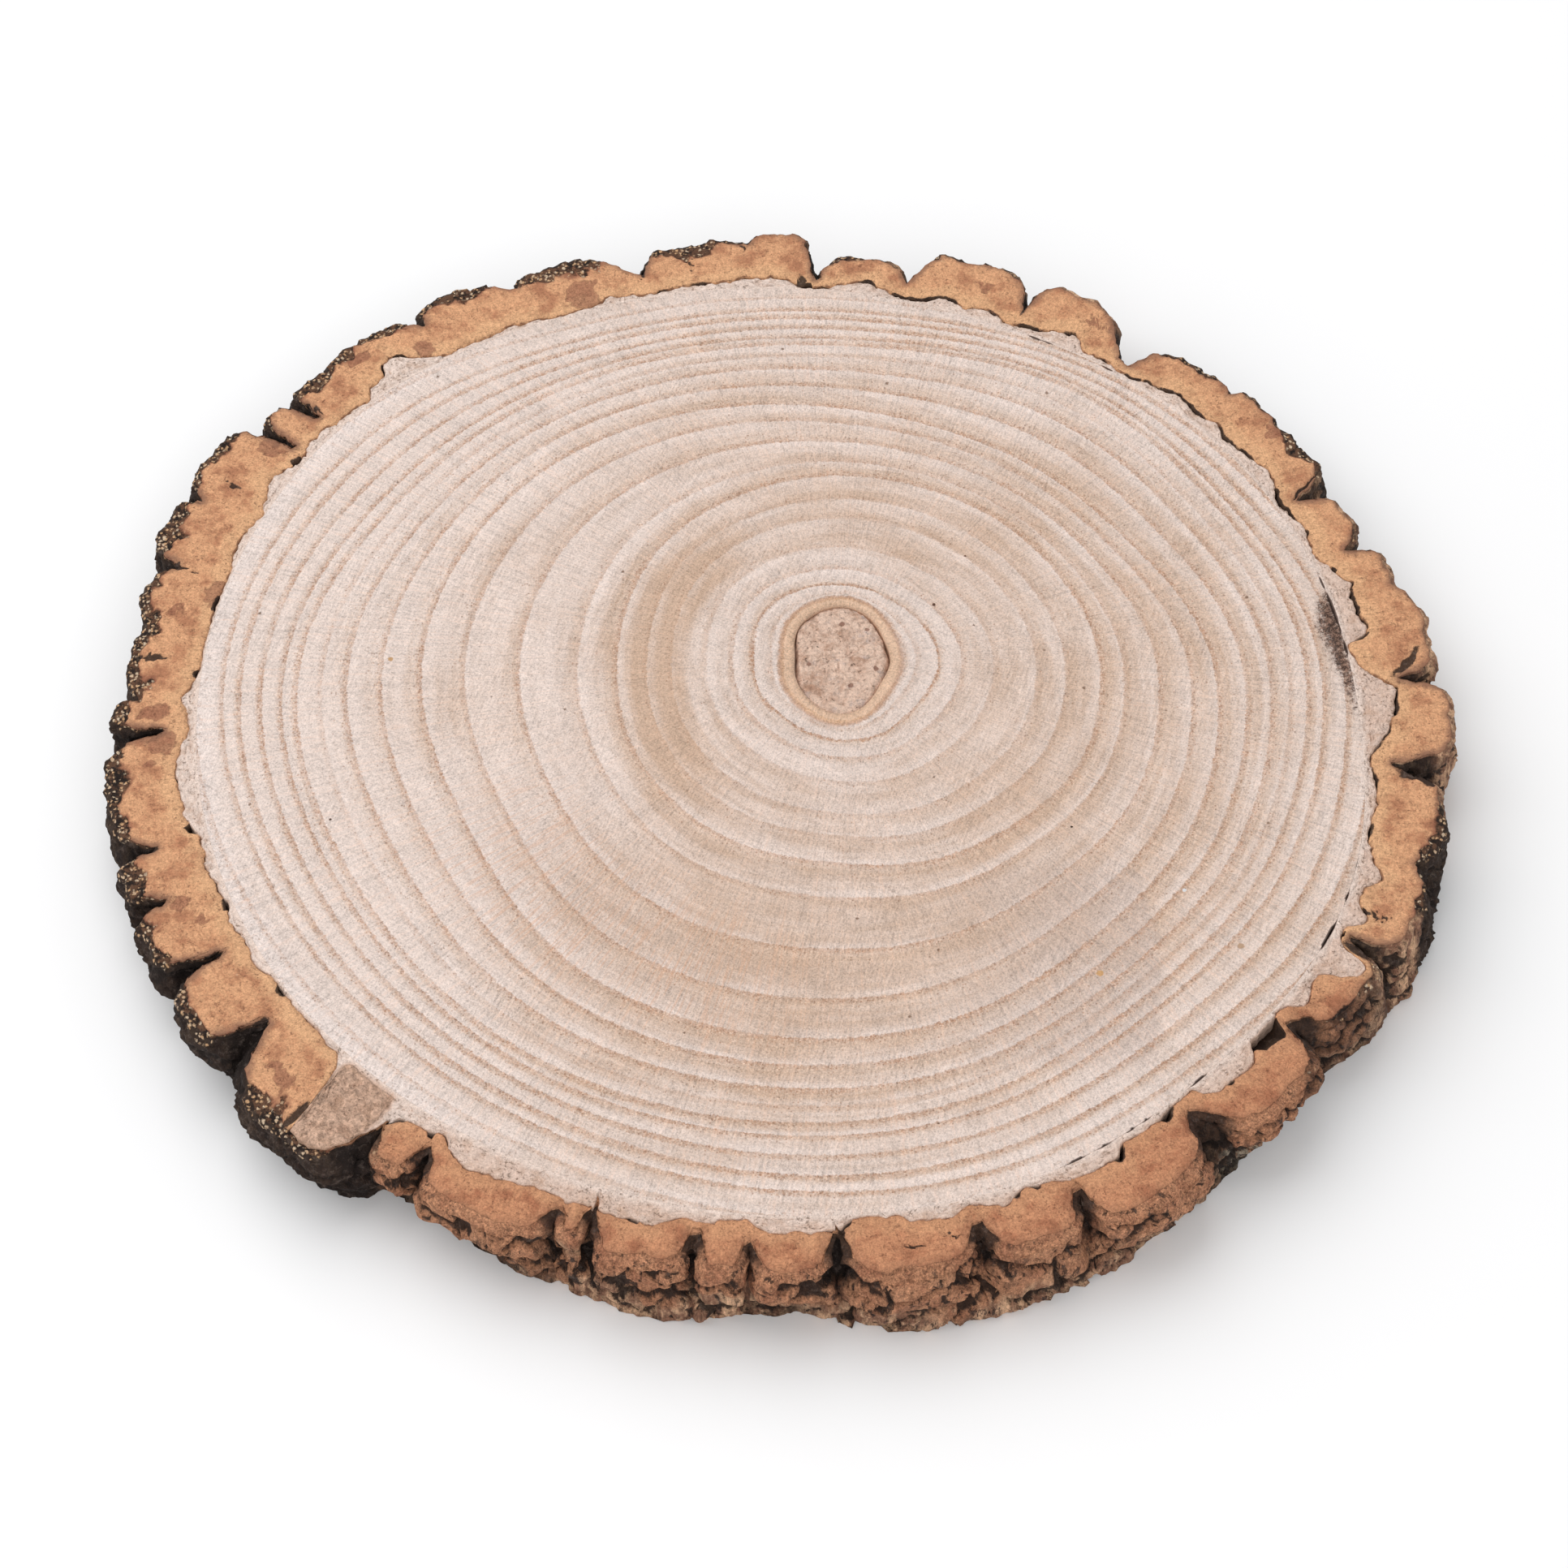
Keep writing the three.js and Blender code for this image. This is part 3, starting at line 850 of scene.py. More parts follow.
def pithFinish():
    look = pithLook
    f = Finish("crumbly pith")
    spot = f.where()
    patches = f.noise(spot, 3.5, 5, 0.65)
    colour = f.mix(f.ease(patches, 0.42, 0.72), look["cream"], look["brown"])
    colour = f.mix(f.ease(f.noise(spot, 3.1, 4, 0.6), 0.55, 0.72) * 0.7, colour, look["grey"])
    grain = f.noise(spot, 0.32, 4, 0.8)
    lumps = f.noise(spot, 0.9, 3, 0.7)
    # the lumps that the bump raises are painted lighter and the dips darker: painted highlight and shade,
    # with the grain's own tone
    tone = -0.25 + grain * 1.3 + lumps * 1.2
    colour = f.shade(colour, tone)
    bitChance = f.chance(spot, 1.9)
    bits = f.ease(f.cells(spot, 1.9) + (grain - 0.5) * 0.4, 0.4, 0.3) * (bitChance > 0.95)
    colour = f.mix(bits * 0.8, colour, look["red"])
    # near-black holes where the bump sinks: painted shade in the pits
    holeShade = f.ease(f.noise(spot, 0.8, 4, 0.75), 0.6, 0.7) * f.ease(f.noise(spot, 3.3, 2), 0.35, 0.6)
    colour = f.mix(holeShade * 0.85, colour, look["hollow"])
    height = grain * 0.4 - holeShade * 0.8 + lumps * 1.3
    return f.close(colour, 0.92, f.bump(height, 0.5), 0.12)


# bark: columns are closer together where the outline turns into a furrow

bark = {
    "columns": 1500,
    "upperRows": 24,
    "wallRows": 32,
    "lowerRows": 6,
    "wander": 0.055,                            # degrees that the furrows wander for each mm of height
    "bulge": 1.1,                               # how far the plates stand out at half height, mm
    "crowding": 0.75,                           # how much closer the columns are where the outline is steep
    "wedge": (225.8, 232, 0.6),                 # where the inner bark reaches the outside
    # dark dashes and splits in the cut cork: angle, radius, half length outward, half width, lean in degrees
    "dark": [
        (6.2, 144, 3.6, 1.0, 50), (5, 141, 2, 0.7, 20), (28.7, 140, 5.5, 0.35, 25),
        (64.5, 138.5, 3.5, 0.6, 0), (87.8, 132.5, 2.6, 1.5, 0), (93.5, 145, 2, 0.35, 0),
        (98.7, 140, 2, 0.35, 0), (103.8, 139.5, 1.6, 0.4, 0), (140.4, 144, 4, 0.4, 8),
        (152, 144.5, 2.5, 0.4, 0),
        (162.7, 143.5, 3.5, 0.45, 0), (173.5, 144.5, 5, 0.8, 0), (275.4, 138, 3, 0.6, 0),
        (281.5, 142, 2.2, 0.4, 70), (285, 141, 1.6, 0.4, 75), (301.4, 136.3, 1.8, 0.9, 20),
        (308, 133.6, 1.6, 1, 0), (323, 147, 3, 1, 60), (326, 145, 4, 1, 70), (332.9, 144, 6, 1.6, 0),
        (336.8, 140, 5, 0.5, 0), (352.9, 145, 6.5, 1.7, -12), (208.5, 139.5, 3, 0.8, 10),
        (217.2, 139.5, 3, 0.8, 10), (195.4, 143, 2.6, 0.8, 10), (226.5, 148, 5, 0.9, 0),
    ],
    # red-brown patches, in the same way
    "red": [
        (110.5, 136.5, 4.6, 4.5, 0), (127.5, 139.5, 2.6, 2.5, 0), (165, 133.6, 2.2, 4, 0),
        (167.5, 140.3, 1.6, 1.4, 0), (180, 140.5, 3.4, 2.2, 0), (183.5, 138, 2.6, 3, 0),
        (202, 140.3, 1.9, 1.7, 0), (204.5, 137.5, 1.2, 1.2, 0), (222.5, 143, 1.7, 4.2, 0),
        (186, 141, 1.5, 1, 0), (146.5, 143, 3, 2, 0), (133, 147, 1.5, 3, 0), (36, 143, 1, 3, 0),
        (57, 141.5, 0.7, 3.5, 0), (69, 140, 0.6, 3, 0),
    ],
}


def marks(points, rows, soft=0.35):             # 1 inside any of the listed ovals, 0 outside
    x, y = fromMiddle(points)
    total = np.zeros(x.shape)
    for at, radius, half, across, lean in rows:
        a = math.radians(at)
        dx, dy = x - radius * math.cos(a), y - radius * math.sin(a)
        a += math.radians(lean)
        along, aside = dx * math.cos(a) + dy * math.sin(a), dy * math.cos(a) - dx * math.sin(a)
        away = np.sqrt((along / half) ** 2 + (aside / across) ** 2)
        total = np.maximum(total, 1 - ramp(1 - soft, 1 + soft, away))
    return total


def barkColumns(count):
    slope = np.gradient(finePlate, np.radians(fine))
    length = np.concatenate([[0], np.cumsum(np.hypot(finePlate, bark["crowding"] * slope))])
    return np.interp(np.arange(count) / count * length[-1], length, np.append(fine, 360.0))


def outwardFrom(points):                        # the level direction out of closed rows of points
    ahead = np.roll(points, -2, 1) - np.roll(points, 2, 1)
    normal = np.stack([ahead[..., 1], -ahead[..., 0]], -1)
    normal /= np.linalg.norm(normal, axis=-1, keepdims=True) + 1e-9
    return np.concatenate([normal, np.zeros_like(normal[..., :1])], -1)


def foldedUv(columns, lengths, folds=5):        # a bark piece's long ring, laid on the bake sheet in folds
    perFold = columns // folds

    def cornerUv(r, c, dr, dc):
        u = 0.002 + 0.996 * (c % perFold + dc) / perFold
        return u, (c // perFold + 0.02 + 0.96 * lengths[r + dr]) / folds

    return cornerUv


def lumpy(points):                              # one small shift for all the bark, so its pieces still meet
    x, y = fromMiddle(points)
    past = np.hypot(x, y) - woodRadius(np.degrees(np.arctan2(y, x)))
    shifts = [cloud(points, (2.6, 2.6, 7), seed, 2) for seed in (81, 82)]
    shift = np.stack([*shifts, np.zeros_like(x)], -1)
    return points + 0.55 * ramp(0.3, 3, past)[..., None] * shift


def makeInnerBark():
    columns = bark["columns"]
    angle = barkColumns(columns)
    wood = woodRadius(angle) + woodGap(angle) / 2 + 0.01
    outer = innerBarkRadius(angle)
    outer = outer + 0.22 * cloud(place(angle, outer, 0), 1.1, 22, 2)
    outer = np.maximum(outer, wood + 0.35)
    rowsUp = 30
    across = np.concatenate([[0], np.linspace(0.004, 1, rowsUp - 1)])[:, None]
    top = place(angle, wood + (outer - wood) * across, thickness)
    width = outer - wood
    wedge = between(angle, *bark["wedge"])
    lobed = wedge * ramp(0, 3, across * width)
    _, split, number = cells(top + 0.5 * cloud(top, 1.5, 24)[..., None], 2.0, 7)
    crumble = 0.25 * cloud(top, 1.6, 23, 2) + 0.4 * (number - 0.6) - 0.3 * (1 - ramp(0, 0.16, split))
    lump, _, _ = cells(top, 3.6, 17)
    lobes = 0.9 - 2.2 * lump ** 1.5 + 0.9 * cloud(top, 1.7, 25, 3)
    crumble = (crumble - 0.14) * (1 - lobed) + lobes * lobed
    top[..., 2] += np.minimum(crumble, 0.05 + 0.5 * lobed) * ramp(0, 1.2, across * width)
    top[..., 2] -= 0.3 * ramp(0.5, 0, (1 - across) * width)
    low = np.clip(outer, wood + 0.35, np.maximum(footRadius(angle) - 4, wood + 0.35))
    low = np.minimum(low, plateRadius(angle) - 3)
    low = np.maximum(low, wood + 0.35)
    walls = [place(angle, outer + 0.05, thickness - 1.6), place(angle, (outer + low) / 2, thickness - 3.5),
             place(angle, low, 2.0)]
    rowsLow = 10
    acrossLow = np.linspace(1, 0, rowsLow)[:, None]
    base = place(angle, wood + (low - wood) * acrossLow, 0.0)
    base[..., 2] += 0.12 + 0.1 * cloud(base, 1.7, 29, 2)
    inner = [place(angle, wood, z) for z in (2.0, thickness / 2, thickness - 2)]
    points = np.concatenate([top, np.stack(walls), base, np.stack(inner)])
    acrossField = np.concatenate([across[:, 0], [1, 1, 1], acrossLow[:, 0], [0, 0, 0]])[:, None]
    lengths = np.concatenate([np.linspace(0, 0.5, rowsUp), [0.52, 0.54, 0.56],
                              np.linspace(0.58, 0.93, rowsLow), [0.945, 0.96, 0.975, 0.99]])
    hue = 0.45 * between(angle, 235, 20, 8) + 0.25 * between(angle, 20, 90, 8) + 1.2 * wedge
    crack = np.zeros(points.shape[:2])
    # crack: the cracks between crumbs and the crevices between the wedge's lobes, both sunk in the mesh,
    # which the finish paints dark: painted shade
    crack[:rowsUp] = np.maximum(1 - ramp(0.02, 0.14, split), wedge * ramp(0.5, -0.6, lobes))
    # parted: the edge beside the split from the wood, and the inner wall facing the wood, which the finish
    # paints near black: painted shade in the split
    parted = ramp(0.08, 0.22, woodGap(angle)) * ramp(0.25, 0.05, across * width)
    piece = ringMesh("inner_bark", lumpy(points), foldedUv(columns, lengths), crack=crack,
                     outside=(1 - acrossField) * width[None, :], inside=acrossField * width[None, :],
                     hue=np.clip(hue, 0, 1.4)[None, :],
                     parted=np.concatenate([parted, np.zeros((3 + rowsLow, columns)), np.ones((3, columns))]))
    return standFor(piece)


innerBarkPaint = {
    "cream": (0.79, 0.64, 0.56),
    "buff": (0.66, 0.46, 0.36),
    "tan": (0.50, 0.31, 0.21),
    "crack": (0.10, 0.05, 0.035),
}


def innerBarkFinish():
    paint = innerBarkPaint
    f = Finish("inner bark")
    spot = f.where()
    patches = f.noise(spot, 3, 4, 0.65)
    hue = f.field("hue") * f.ease(f.field("inside"), -0.5, 2.5) + f.sway(spot, 6, 2) * 0.4
    base = f.mix(f.ease(hue, 0.0, 0.8), paint["cream"], paint["buff"])
    colour = f.mix(f.ease(patches, 0.46, 0.7) * f.ease(f.field("inside"), 0, 1.5) * 0.5, base, paint["tan"])
    crumbly = f.ease(hue, 0.7, 1.0)
    colour = f.mix(crumbly * 0.6, colour, paint["tan"])
    grit = f.noise(spot, 0.42, 4, 0.8)
    coarse = f.noise(spot, 1.2, 4, 0.75)
    # in the wedge, the lumps that the bump raises are painted lighter and the dips darker: painted highlight
    # and shade, over the random tone of the grit
    tone = -0.1 + grit * 1.3 + coarse * 0.9 + (coarse - 0.46) * crumbly * 2.2
    colour = f.shade(colour, tone)
    pits = f.ease(f.noise(spot, 0.75, 4, 0.75), 0.57, 0.68) * f.ease(f.noise(spot, 2.4, 2), 0.4, 0.58)
    colour = f.mix(pits * 0.6, colour, paint["tan"])
    # near-black specks where the bump sinks deepest: painted shade in the pits
    deepShade = f.ease(f.noise(spot, 0.8, 4, 0.75), 0.68, 0.75)
    colour = f.mix(deepShade * 0.8, colour, paint["crack"])
    # painted shade in the cracks between crumbs and in the wedge's crevices
    crack = f.ease(f.field("crack") * f.noise(spot, 2.2, 3, 0.7), 0.42, 0.62)
    colour = f.mix(crack * 0.5, colour, f.mix(crumbly * 0.3, paint["tan"], paint["crack"]))
    edge = f.ease(f.field("outside") + (grit - 0.5) * 0.5, 0.35, 0.05)
    colour = f.mix(edge * 0.55, colour, paint["tan"])
    # painted shade in the split beside the wood
    parted = f.ease(f.field("parted") + (grit - 0.5) * 0.4, 0.4, 0.8)
    colour = f.mix(parted * 0.85, colour, paint["crack"])
    height = grit * 0.3 + f.noise(spot, 1.4, 2, 0.6) * 1.5 + coarse * crumbly * 1.5 - pits * 0.5 - deepShade * 0.7
    return f.close(colour, 0.88, f.bump(height, 0.5), 0.15)


def barkDark(angle):                            # 1 where the outside is nearly black and gritty
    dark = 0.12 + 0.88 * between(angle, 94, 233, 4)
    dark += 0.42 * between(angle, 12, 94, 8) * (1 + 0.9 * cloud(place(angle, 150, 0), 16, 55, 2))
    dark = np.maximum(dark, 0.85 * between(angle, 338, 351, 2))
    dark = np.maximum(dark, 0.5 * between(angle, 318, 335, 2))
    return dark


def corkWall(angle, black, front):              # the outside of the bark, row by row from the top down
    look = bark
    rounded = [0, 0.35, 0.8, 1.35]              # the first rows, close together, turn the corner
    straight = np.linspace(2.0, thickness - 0.8, look["wallRows"] - 5)
    depth = np.concatenate([rounded, straight, [thickness]])[:, None]
    share = depth / thickness
    wander = look["wander"] * cloud(place(angle, 145, 0), 20, 31, 2)
    ripple = 0.25 * cloud(place(angle, 145, -depth), (5, 5, 9), 32) * ramp(0, 4, depth)
    turned = angle + wander * depth + ripple
    ragged = 0.75 * cloud(place(angle, 145, 0), 5.5, 30, 3)
    filled = 0.55 * ramp(0.02, 0.45, share) * (0.4 + 0.6 * between(angle, 92, 233, 4))
    upper = plateRadius(turned, filled) + ragged * (1 - 0.5 * share)
    chosenFoot = between(angle, 193, 356, 3)
    foot = footRadius(angle) + 0.8 * cloud(place(angle, 145, 50), 9, 36, 2)
    sink = ramp(0.3, 0.9, share) * chosenFoot * 0.85
    radius = upper * (1 - sink) + foot * sink
    # below: how far the wall sinks under the plate crests, in the furrows; the cork finish paints the furrows
    # near black, partly the bark's own dark colour and partly painted shade
    crest = plateRadius(turned, 1)
    below = np.clip((crest - radius) / 9, 0, 1)
    wall = place(turned, radius, thickness - depth)
    out = outwardFrom(wall)
    warped = wall + 2.2 * np.stack([cloud(wall, 6, seed, 2) for seed in (61, 62, 63)], -1)
    _, split, block = cells(warped, (13, 13, 8.5), 9)
    _, smallSplit, smallBlock = cells(warped, (5.5, 5.5, 3.2), 10)
    gritNear, _, _ = cells(wall, 1.5, 13)
    inFace = ramp(0.03, 0.2, share) * ramp(0, 0.06, 1 - share)
    # cracks between the bark's blocks are sunk into the wall and painted near black by the cork finish:
    # partly the bark's dark colour, partly painted shade
    crack = (1 - ramp(0.02, 0.14, split)) * inFace
    smallCrack = (1 - ramp(0.02, 0.16, smallSplit)) * inFace * ramp(0.35, 0.65, smallBlock)
    ridges = cloud(wall, (2.6, 2.6, 9), 33, 3)
    push = look["bulge"] * np.sin(np.pi * share) ** 0.7 * (1 - below)
    push += (1.5 * (block - 0.5) * (0.5 + 0.7 * front) + 0.7 * (smallBlock - 0.5)) * ramp(0.05, 0.3, share)
    push += 0.55 * ridges * (0.4 + 0.6 * inFace) + 0.6 * cloud(wall, 7, 35, 2) * inFace
    push -= crack * (0.9 + 1.3 * front) + smallCrack * 0.7
    push += (0.5 - gritNear) * (0.25 + 0.6 * black)
    rounding = 0.5 + 1.3 * front
    inset = np.clip(1 - depth / (1.6 * rounding), 0, 1)
    push -= rounding * (1 - np.sqrt(1 - inset ** 2 * 0.98))
    wall = wall + out * push[..., None]
    return wall, share, below, np.maximum(crack, smallCrack * 0.8)


def nearestRim(points, rim):                    # the rim's nearest column to each point, and how far it is
    tree = KDTree(len(rim))
    for i, p in enumerate(rim):
        tree.insert((p[0], p[1], 0), i)
    tree.balance()
    found = [[tree.find((p[0], p[1], 0))[1:] for p in row] for row in points]
    column = np.array([[index for index, _ in row] for row in found])
    away = np.array([[distance for _, distance in row] for row in found])
    return column, away


def makeCork():
    look = bark
    columns = look["columns"]
    angle = barkColumns(columns)
    black = barkDark(angle)
    front = between(angle, *outlines["front"])
    wall, share, below, wallCrack = corkWall(angle, black, front)
    gap = barkGap(angle)
    inner = innerBarkRadius(angle) + gap + 0.18 * cloud(place(angle, 133, 0), 1.3, 39, 2)
    rimTop = np.hypot(wall[0, :, 0] - middleX, wall[0, :, 1] - middleY)
    rimBase = np.hypot(wall[-1, :, 0] - middleX, wall[-1, :, 1] - middleY)
    innerTop = np.minimum(inner, rimTop - 0.6)
    innerBase = np.minimum(np.minimum(innerBarkRadius(angle), plateRadius(angle) - 2.7) + 0.3, rimBase - 0.6)
    across = (1 - (1 - np.linspace(0, 1, look["upperRows"] + 1)) ** 1.3)[:-1, None, None]
    topInner = place(angle, innerTop, thickness)
    top = topInner + (wall[0] * [1, 1, 0] + [0, 0, thickness] - topInner) * across
    acrossLow = np.linspace(1, 0, look["lowerRows"] + 1)[1:, None, None]
    baseInner = place(angle, innerBase, 0.0)
    base = baseInner + (wall[-1] * [1, 1, 0] - baseInner) * acrossLow

    column, margin = nearestRim(top, wall[0])
    crestal = 1 - ramp(0.1, 0.4, below[0])[column]
    bandWidth = 0.4 + (0.4 + 3.4 * np.clip(black, 0, 1) ** 5) * (1 + 0.8 * cloud(top, 7, 42)) * crestal
    nearEdge = 1 - ramp(0.3, 1.0, margin / bandWidth + 0.28 * cloud(top, 2.2, 41, 2))
    granule, _, _ = cells(top, 1.25, 13)
    darkMarks = marks(top + 0.8 * cloud(top, 1.5, 71, 2)[..., None], look["dark"], 0.5)
    redMarks = marks(top + 1.1 * cloud(top, 1.8, 72, 2)[..., None], look["red"], 0.3)
    top[..., 2] -= nearEdge * ((0.1 + 0.9 * granule) * (0.3 + 0.7 * black) + 0.15)
    top[..., 2] -= front * 0.9 * ramp(3.2, 0, margin) ** 2
    top[..., 2] += 0.09 * cloud(top, 2.8, 43, 2) - 0.06 - 0.5 * darkMarks - 0.12 * redMarks
    top[0, :, 2] -= 0.25
    # an open split is painted dark right up to its edge: painted shade in the split
    darkMarks[0] = np.maximum(darkMarks[0], ramp(0.2, 0.55, gap))
    wall[0, :, 2] = 2 * top[-1, :, 2] - top[-2, :, 2] - 0.25 + 0.22 * front
    follow = np.array([[0.8], [0.6], [0.35], [0.15]])   # how far the rows under the rim keep to its level
    wall[1:5, :, 2] = wall[0, :, 2] * follow + wall[1:5, :, 2] * (1 - follow)
    wall[1:5, :, 2] = np.minimum(wall[1:5, :, 2], wall[0, :, 2] - [[0.2], [0.45], [0.8], [1.3]])
    wall[-1, :, 2] = 0.25
    innerWall = [place(angle, innerBase - 0.25, 2.0),
                 place(angle, np.minimum(innerBase, innerTop) - 0.3, thickness - 4.5),
                 place(angle, innerTop - 0.25 * (1 - ramp(2, 4, gap)), thickness - 2)]
    points = np.concatenate([top, wall, base, np.stack(innerWall)])
    rowsTop, rowsWall, rowsLow = look["upperRows"], look["wallRows"], look["lowerRows"]

    def rowsOf(onTop, onWall, onBase=0.0, onInner=0.0):
        parts = [(onTop, rowsTop), (onWall, rowsWall), (onBase, rowsLow), (onInner, 3)]
        return np.concatenate([np.broadcast_to(part, (rows, columns)) for part, rows in parts])

    lengths = np.concatenate([np.linspace(0, 0.34, rowsTop), np.linspace(0.355, 0.84, rowsWall),
                              np.linspace(0.86, 0.95, rowsLow), [0.965, 0.975, 0.985, 0.995]])
    x, y = fromMiddle(points)
    lowEdge = 1 - ramp(0.05, 0.35, 1 - acrossLow[:, :, 0])
    fresh = front * (1 - ramp(0.3, 0.95, share + 0.4 * cloud(wall, 9, 77, 2)))
    lichen = between(angle, 310, 316, 1) * ramp(0.3, 0.5, share)
    piece = ringMesh(
        "cork_bark", lumpy(points), foldedUv(columns, lengths),
        toEdge=rowsOf(margin, 0, 9, 9), rough=rowsOf(nearEdge, 1, lowEdge), dark=black[None, :],
        # the cork's inner wall, facing the inner bark across the split, is painted near black: painted shade
        # in the split
        onTop=rowsOf(1, 0), hollow=rowsOf(0.0, below), crack=rowsOf(darkMarks, wallCrack, 0, 0.9),
        red=rowsOf(redMarks, 0), fresh=rowsOf(front, fresh, 0, 0), lichen=rowsOf(0.0, lichen),
        toWood=np.clip(np.hypot(x, y) - inner, 0, 30))
    return standFor(piece)


corkPaint = {
    "cut": (0.68, 0.36, 0.195),                 # freshly sawn cork
    "cutDark": (0.47, 0.215, 0.115),
    "gold": (0.75, 0.45, 0.245),
    "fleck": (0.18, 0.075, 0.045),
    "red": (0.26, 0.10, 0.062),
    "rim": (0.17, 0.085, 0.05),
    "frontTintAndShade": (0.76, 0.63, 0.62),               # how much redder and darker the cork is in front: partly its tint, partly painted shade
    "skin": (0.25, 0.125, 0.08),                # the outside of the plates
    # lighter patches of the outside: partly orange broken faces, partly painted highlight
    "skinLight": (0.68, 0.42, 0.26),
    "black": (0.022, 0.015, 0.013),
    "ash": (0.10, 0.075, 0.065),
    "grain": (0.82, 0.63, 0.45),                # cream granules
    "lichen": (0.34, 0.33, 0.26),
}


def cutCork(f, spot, grit, coarse, patches):    # the sawn face of the plates
    paint = corkPaint
    heading, reach = f.polar(spot, middleX, middleY)
    layered = f.fan(heading, 45, reach * 1.2)
    fibres = f.sway(f.fan(heading, 230, reach * 0.4), 1, 3, 0.7)
    layers = f.noise(layered, 1.0, 3, 0.6)
    cut = f.mix(f.ease(patches, 0.44, 0.66), paint["cut"], paint["cutDark"])
    cut = f.mix(f.ease(layers, 0.5, 0.68) * 0.45, cut, paint["cutDark"])
    cut = f.mix(f.ease(f.field("toWood") + (patches - 0.5) * 9, 5, 1.5) * 0.5, cut, paint["gold"])
    flecks = f.ease(f.noise(layered, 1.5, 4, 0.7), 0.68, 0.75) * f.ease(f.noise(spot, 9, 2), 0.42, 0.6)
    cut = f.mix(flecks * 0.65, cut, paint["fleck"])
    redness = f.field("red") + f.sway(spot, 1.8, 4, 0.7) * 1.8
    cut = f.mix(f.ease(redness, 0.3, 0.7) * 0.65, cut, paint["red"])
    cut = f.mix(f.ease(redness, 0.25, 0.4) * f.ease(redness, 0.62, 0.45) * 0.5, cut, paint["fleck"])
    tone = 1 + grit * 1.8 + fibres * 0.6 + coarse * 1.2
    cut = f.shade(cut, tone)
    pepper = f.ease(f.noise(spot, 0.8, 3, 0.8), 0.58, 0.68) * f.ease(f.noise(spot, 4, 2), 0.35, 0.6)
    cut = f.mix(pepper * 0.5, cut, paint["red"])
    # a patchy dark line at the cork's inner edge, beside the split: painted shade
    lipShade = f.ease(f.field("toWood") + grit * 0.3, 0.3, 0.08) * f.ease(f.noise(spot, 2.5, 2), 0.45, 0.58)
    cut = f.mix(lipShade * 0.7, cut, paint["fleck"])
    fresh = f.field("fresh")
    # the cork in front is made redder and darker: partly its tint, partly painted shade on the front
    cut = f.mix(fresh * 0.75, cut, f.mix(1, cut, paint["frontTintAndShade"], "MULTIPLY"))
    brownRim = f.ease(f.field("toEdge") + f.sway(spot, 1.5, 3) * 2.2, 2.3, 0.2) * (0.85 - fresh * 0.6)
    cut = f.mix(brownRim, cut, paint["skin"])
    return cut, fibres * 0.2 - flecks * 0.4 - pepper * 0.3


def corkSkin(f, spot, grit, cut):               # the rough outside of the plates
    paint = corkPaint
    fresh = f.field("fresh")
    upright = f.stretch(spot, 1, 1, 0.3)
    weather = f.noise(upright, 3.0, 5, 0.7)
    # lighter weathered patches: partly the bark's own colour, partly painted highlight
    skin = f.mix(f.ease(weather, 0.4, 0.62), paint["skin"], paint["skinLight"])
    skin = f.mix(f.ease(fresh + f.sway(spot, 2.5, 3) * 0.7, 0.2, 0.8) * 0.9, skin, cut)
    lichen = f.ease(f.field("lichen") * f.noise(spot, 2, 3, 0.7), 0.35, 0.55)
    skin = f.mix(lichen * 0.7, skin, paint["lichen"])
    skinTone = 1.05 + grit * 2 + f.sway(upright, 0.9, 3, 0.7) * 2
    skin = f.shade(skin, skinTone)
    # grey mottling in the black bark: partly its weathered grey, partly painted highlight on its roughness
    blackTone = f.mix(f.ease(f.noise(spot, 1.6, 4, 0.75), 0.5, 0.7), paint["black"], paint["ash"])
    # near-black pits on the outside of the plates: painted shade
    pits = f.ease(f.noise(upright, 2.1, 4, 0.75), 0.53, 0.62) * f.ease(f.noise(spot, 8, 2), 0.35, 0.6)
    skin = f.mix(pits * 0.85, skin, blackTone)
    # the furrows between plates are painted near black: partly the bark's dark colour, partly painted shade
    hollow = f.ease(f.field("hollow") + f.sway(spot, 2.2, 3) * 0.5, 0.25, 0.75)
    skin = f.mix(hollow * 0.9, skin, blackTone)
    dark = f.ease(f.field("dark") + f.sway(spot, 6, 4) * 0.6, 0.3, 0.7)
    skin = f.mix(dark * 0.94, skin, blackTone)
    return skin, blackTone, dark


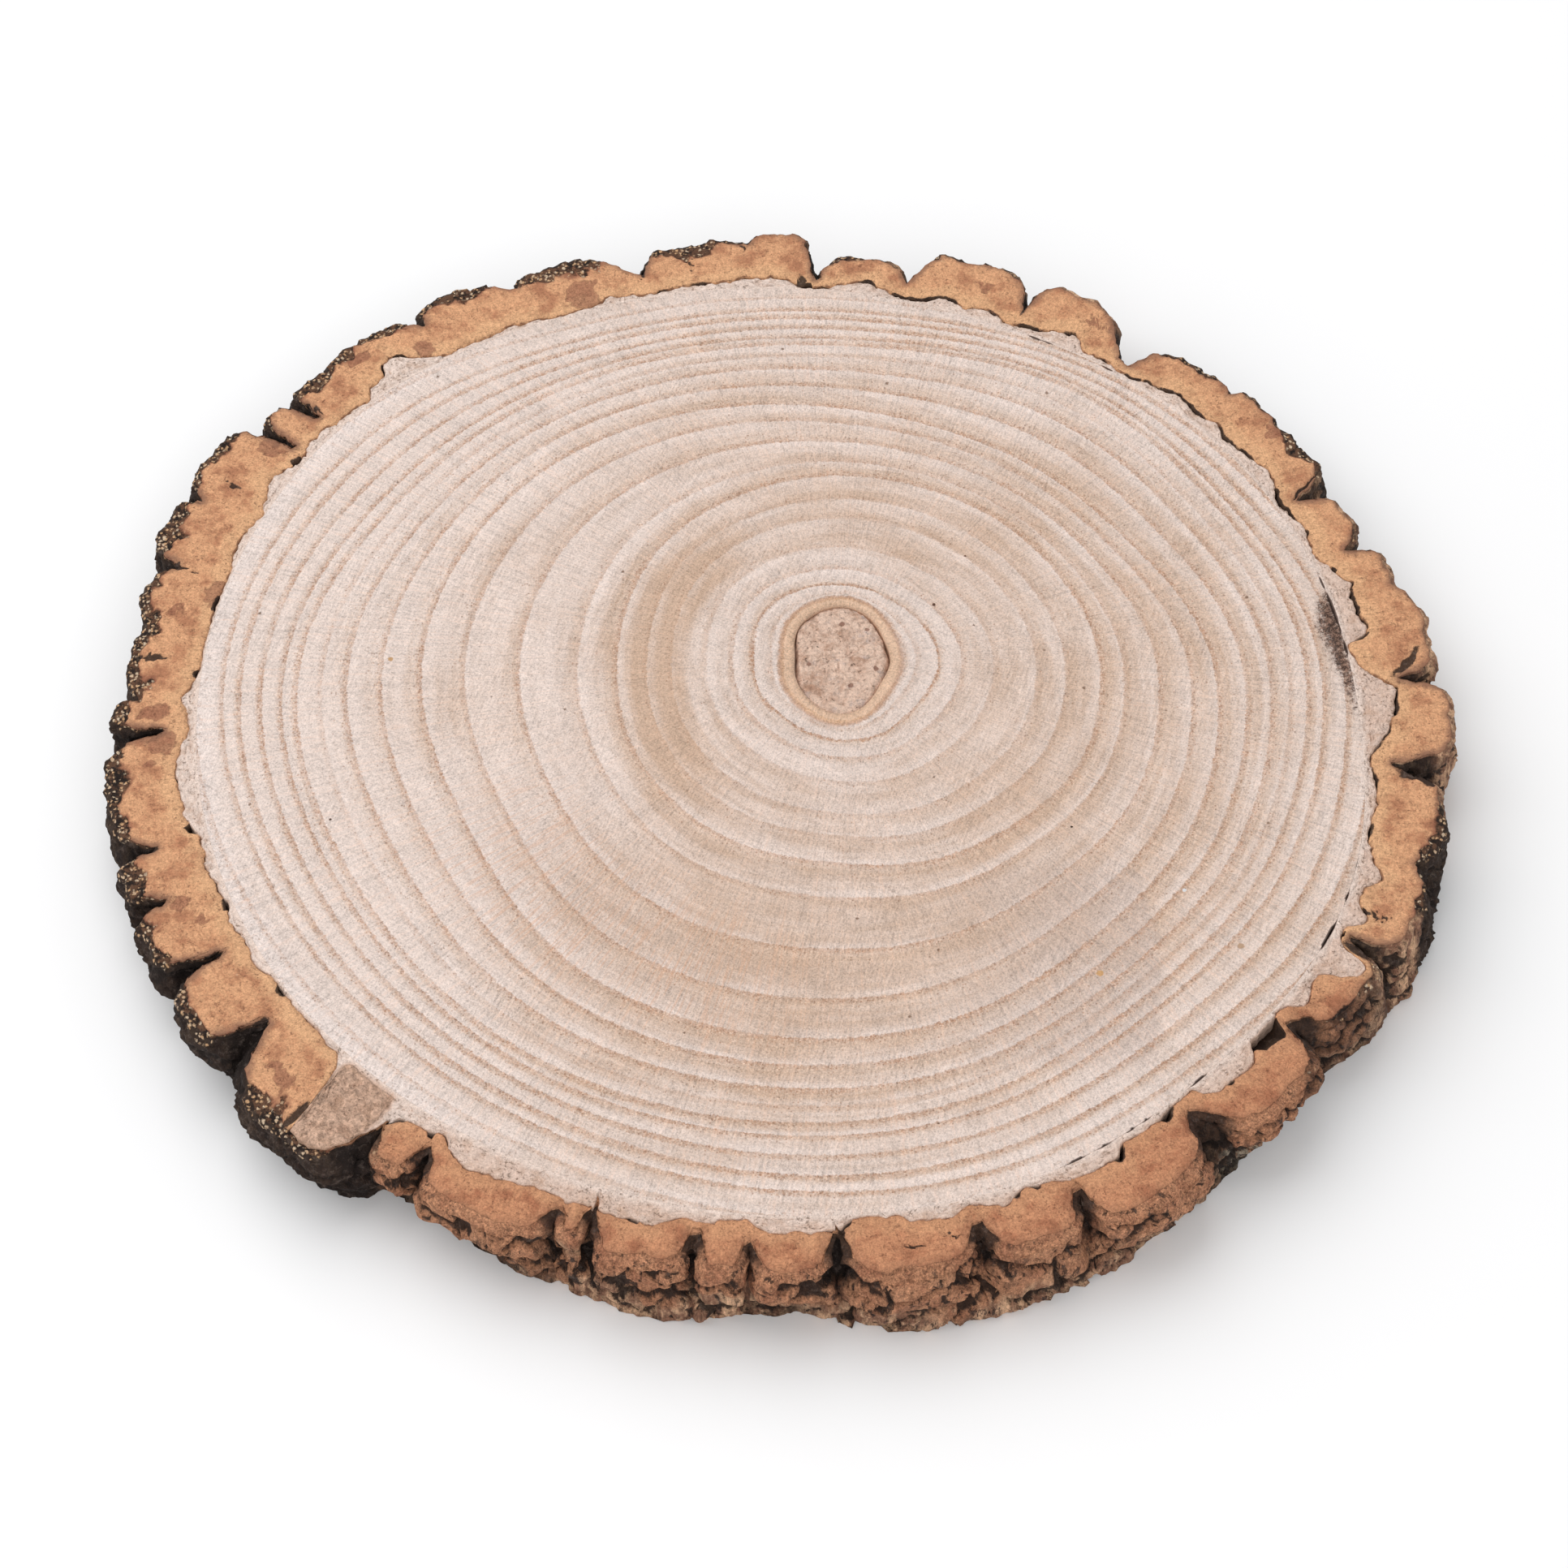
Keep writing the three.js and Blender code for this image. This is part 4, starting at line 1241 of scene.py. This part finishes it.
def rimCrumbs(f, spot, grit):                   # cream granules along the rim of the black bark
    paint = corkPaint
    crumbSpot = f.vector("ADD", spot, f.noise(spot, 0.9, 2, out=1))
    crumbs = f.cells(crumbSpot, 1.0)
    crumbChance = f.chance(crumbSpot, 1.0)
    isCrumb = f.ease(crumbs + grit * 0.4, 0.52, 0.25) * (crumbChance > 0.2)
    crumbTone = f.mix(f.ease(crumbChance + grit * 0.6, 0.3, 1), paint["gold"], paint["grain"])
    nearTop = f.ease(f.add("SeparateXYZ", {}, spot, out=2), thickness - 4, thickness - 1)
    crumbZone = f.field("rough") * f.field("dark") * nearTop * f.ease(f.field("hollow"), 0.35, 0.1)
    crumbZone = f.ease(crumbZone + f.sway(spot, 3.5, 2) * 1.5, 0.35, 0.6)
    return isCrumb * crumbZone, crumbTone


def corkFinish():
    paint = corkPaint
    f = Finish("cork bark")
    spot = f.where()
    grit = f.sway(spot, 0.45, 4, 0.8)
    coarse = f.sway(spot, 1.1, 5, 0.8)
    patches = f.noise(spot, 6, 4, 0.65)
    cut, relief = cutCork(f, spot, grit, coarse, patches)
    skin, blackTone, dark = corkSkin(f, spot, grit, cut)

    rough = f.ease(f.field("rough") + grit * 0.8, 0.35, 0.65)
    edging = f.ease(f.field("rough") + grit * 0.6 + (patches - 0.5) * 0.8, 0.05, 0.4) * dark
    cut = f.mix(edging * 0.7, cut, paint["red"])
    rim = f.mix(f.ease(f.noise(spot, 1.8, 3, 0.7), 0.42, 0.6), paint["rim"], paint["black"])
    skin = f.mix(f.field("onTop") * dark * 0.85, skin, rim)
    colour = f.mix(rough, cut, skin)
    crumbs, crumbTone = rimCrumbs(f, spot, grit)
    colour = f.mix(crumbs * 0.9, colour, crumbTone)
    # near-black cracks, dark dashes and the split's inner wall: painted shade in the cracks and in the split,
    # over the cork's own dark dashes
    crack = f.ease(f.field("crack") + (grit + coarse * 1.3) * f.ease(f.field("crack"), 0, 0.2), 0.3, 0.65)
    colour = f.mix(crack * 0.92, colour, blackTone)
    height = grit * (0.3 + rough * 0.4) + f.noise(spot, 1.3, 2, 0.6) * (1 + rough) + crumbs * 0.6 + relief
    return f.close(colour, 0.86, f.bump(height, 0.5), 0.18)


# the four pieces

makers = [
    (makeWood, woodFinish),
    (makePith, pithFinish),
    (makeInnerBark, innerBarkFinish),
    (makeCork, corkFinish),
]
for make, finish in makers:
    piece = make()
    put(piece, finish())
    print(piece.name.replace("_", " "), len(piece.data.polygons), "faces")

bpy.context.view_layer.update()
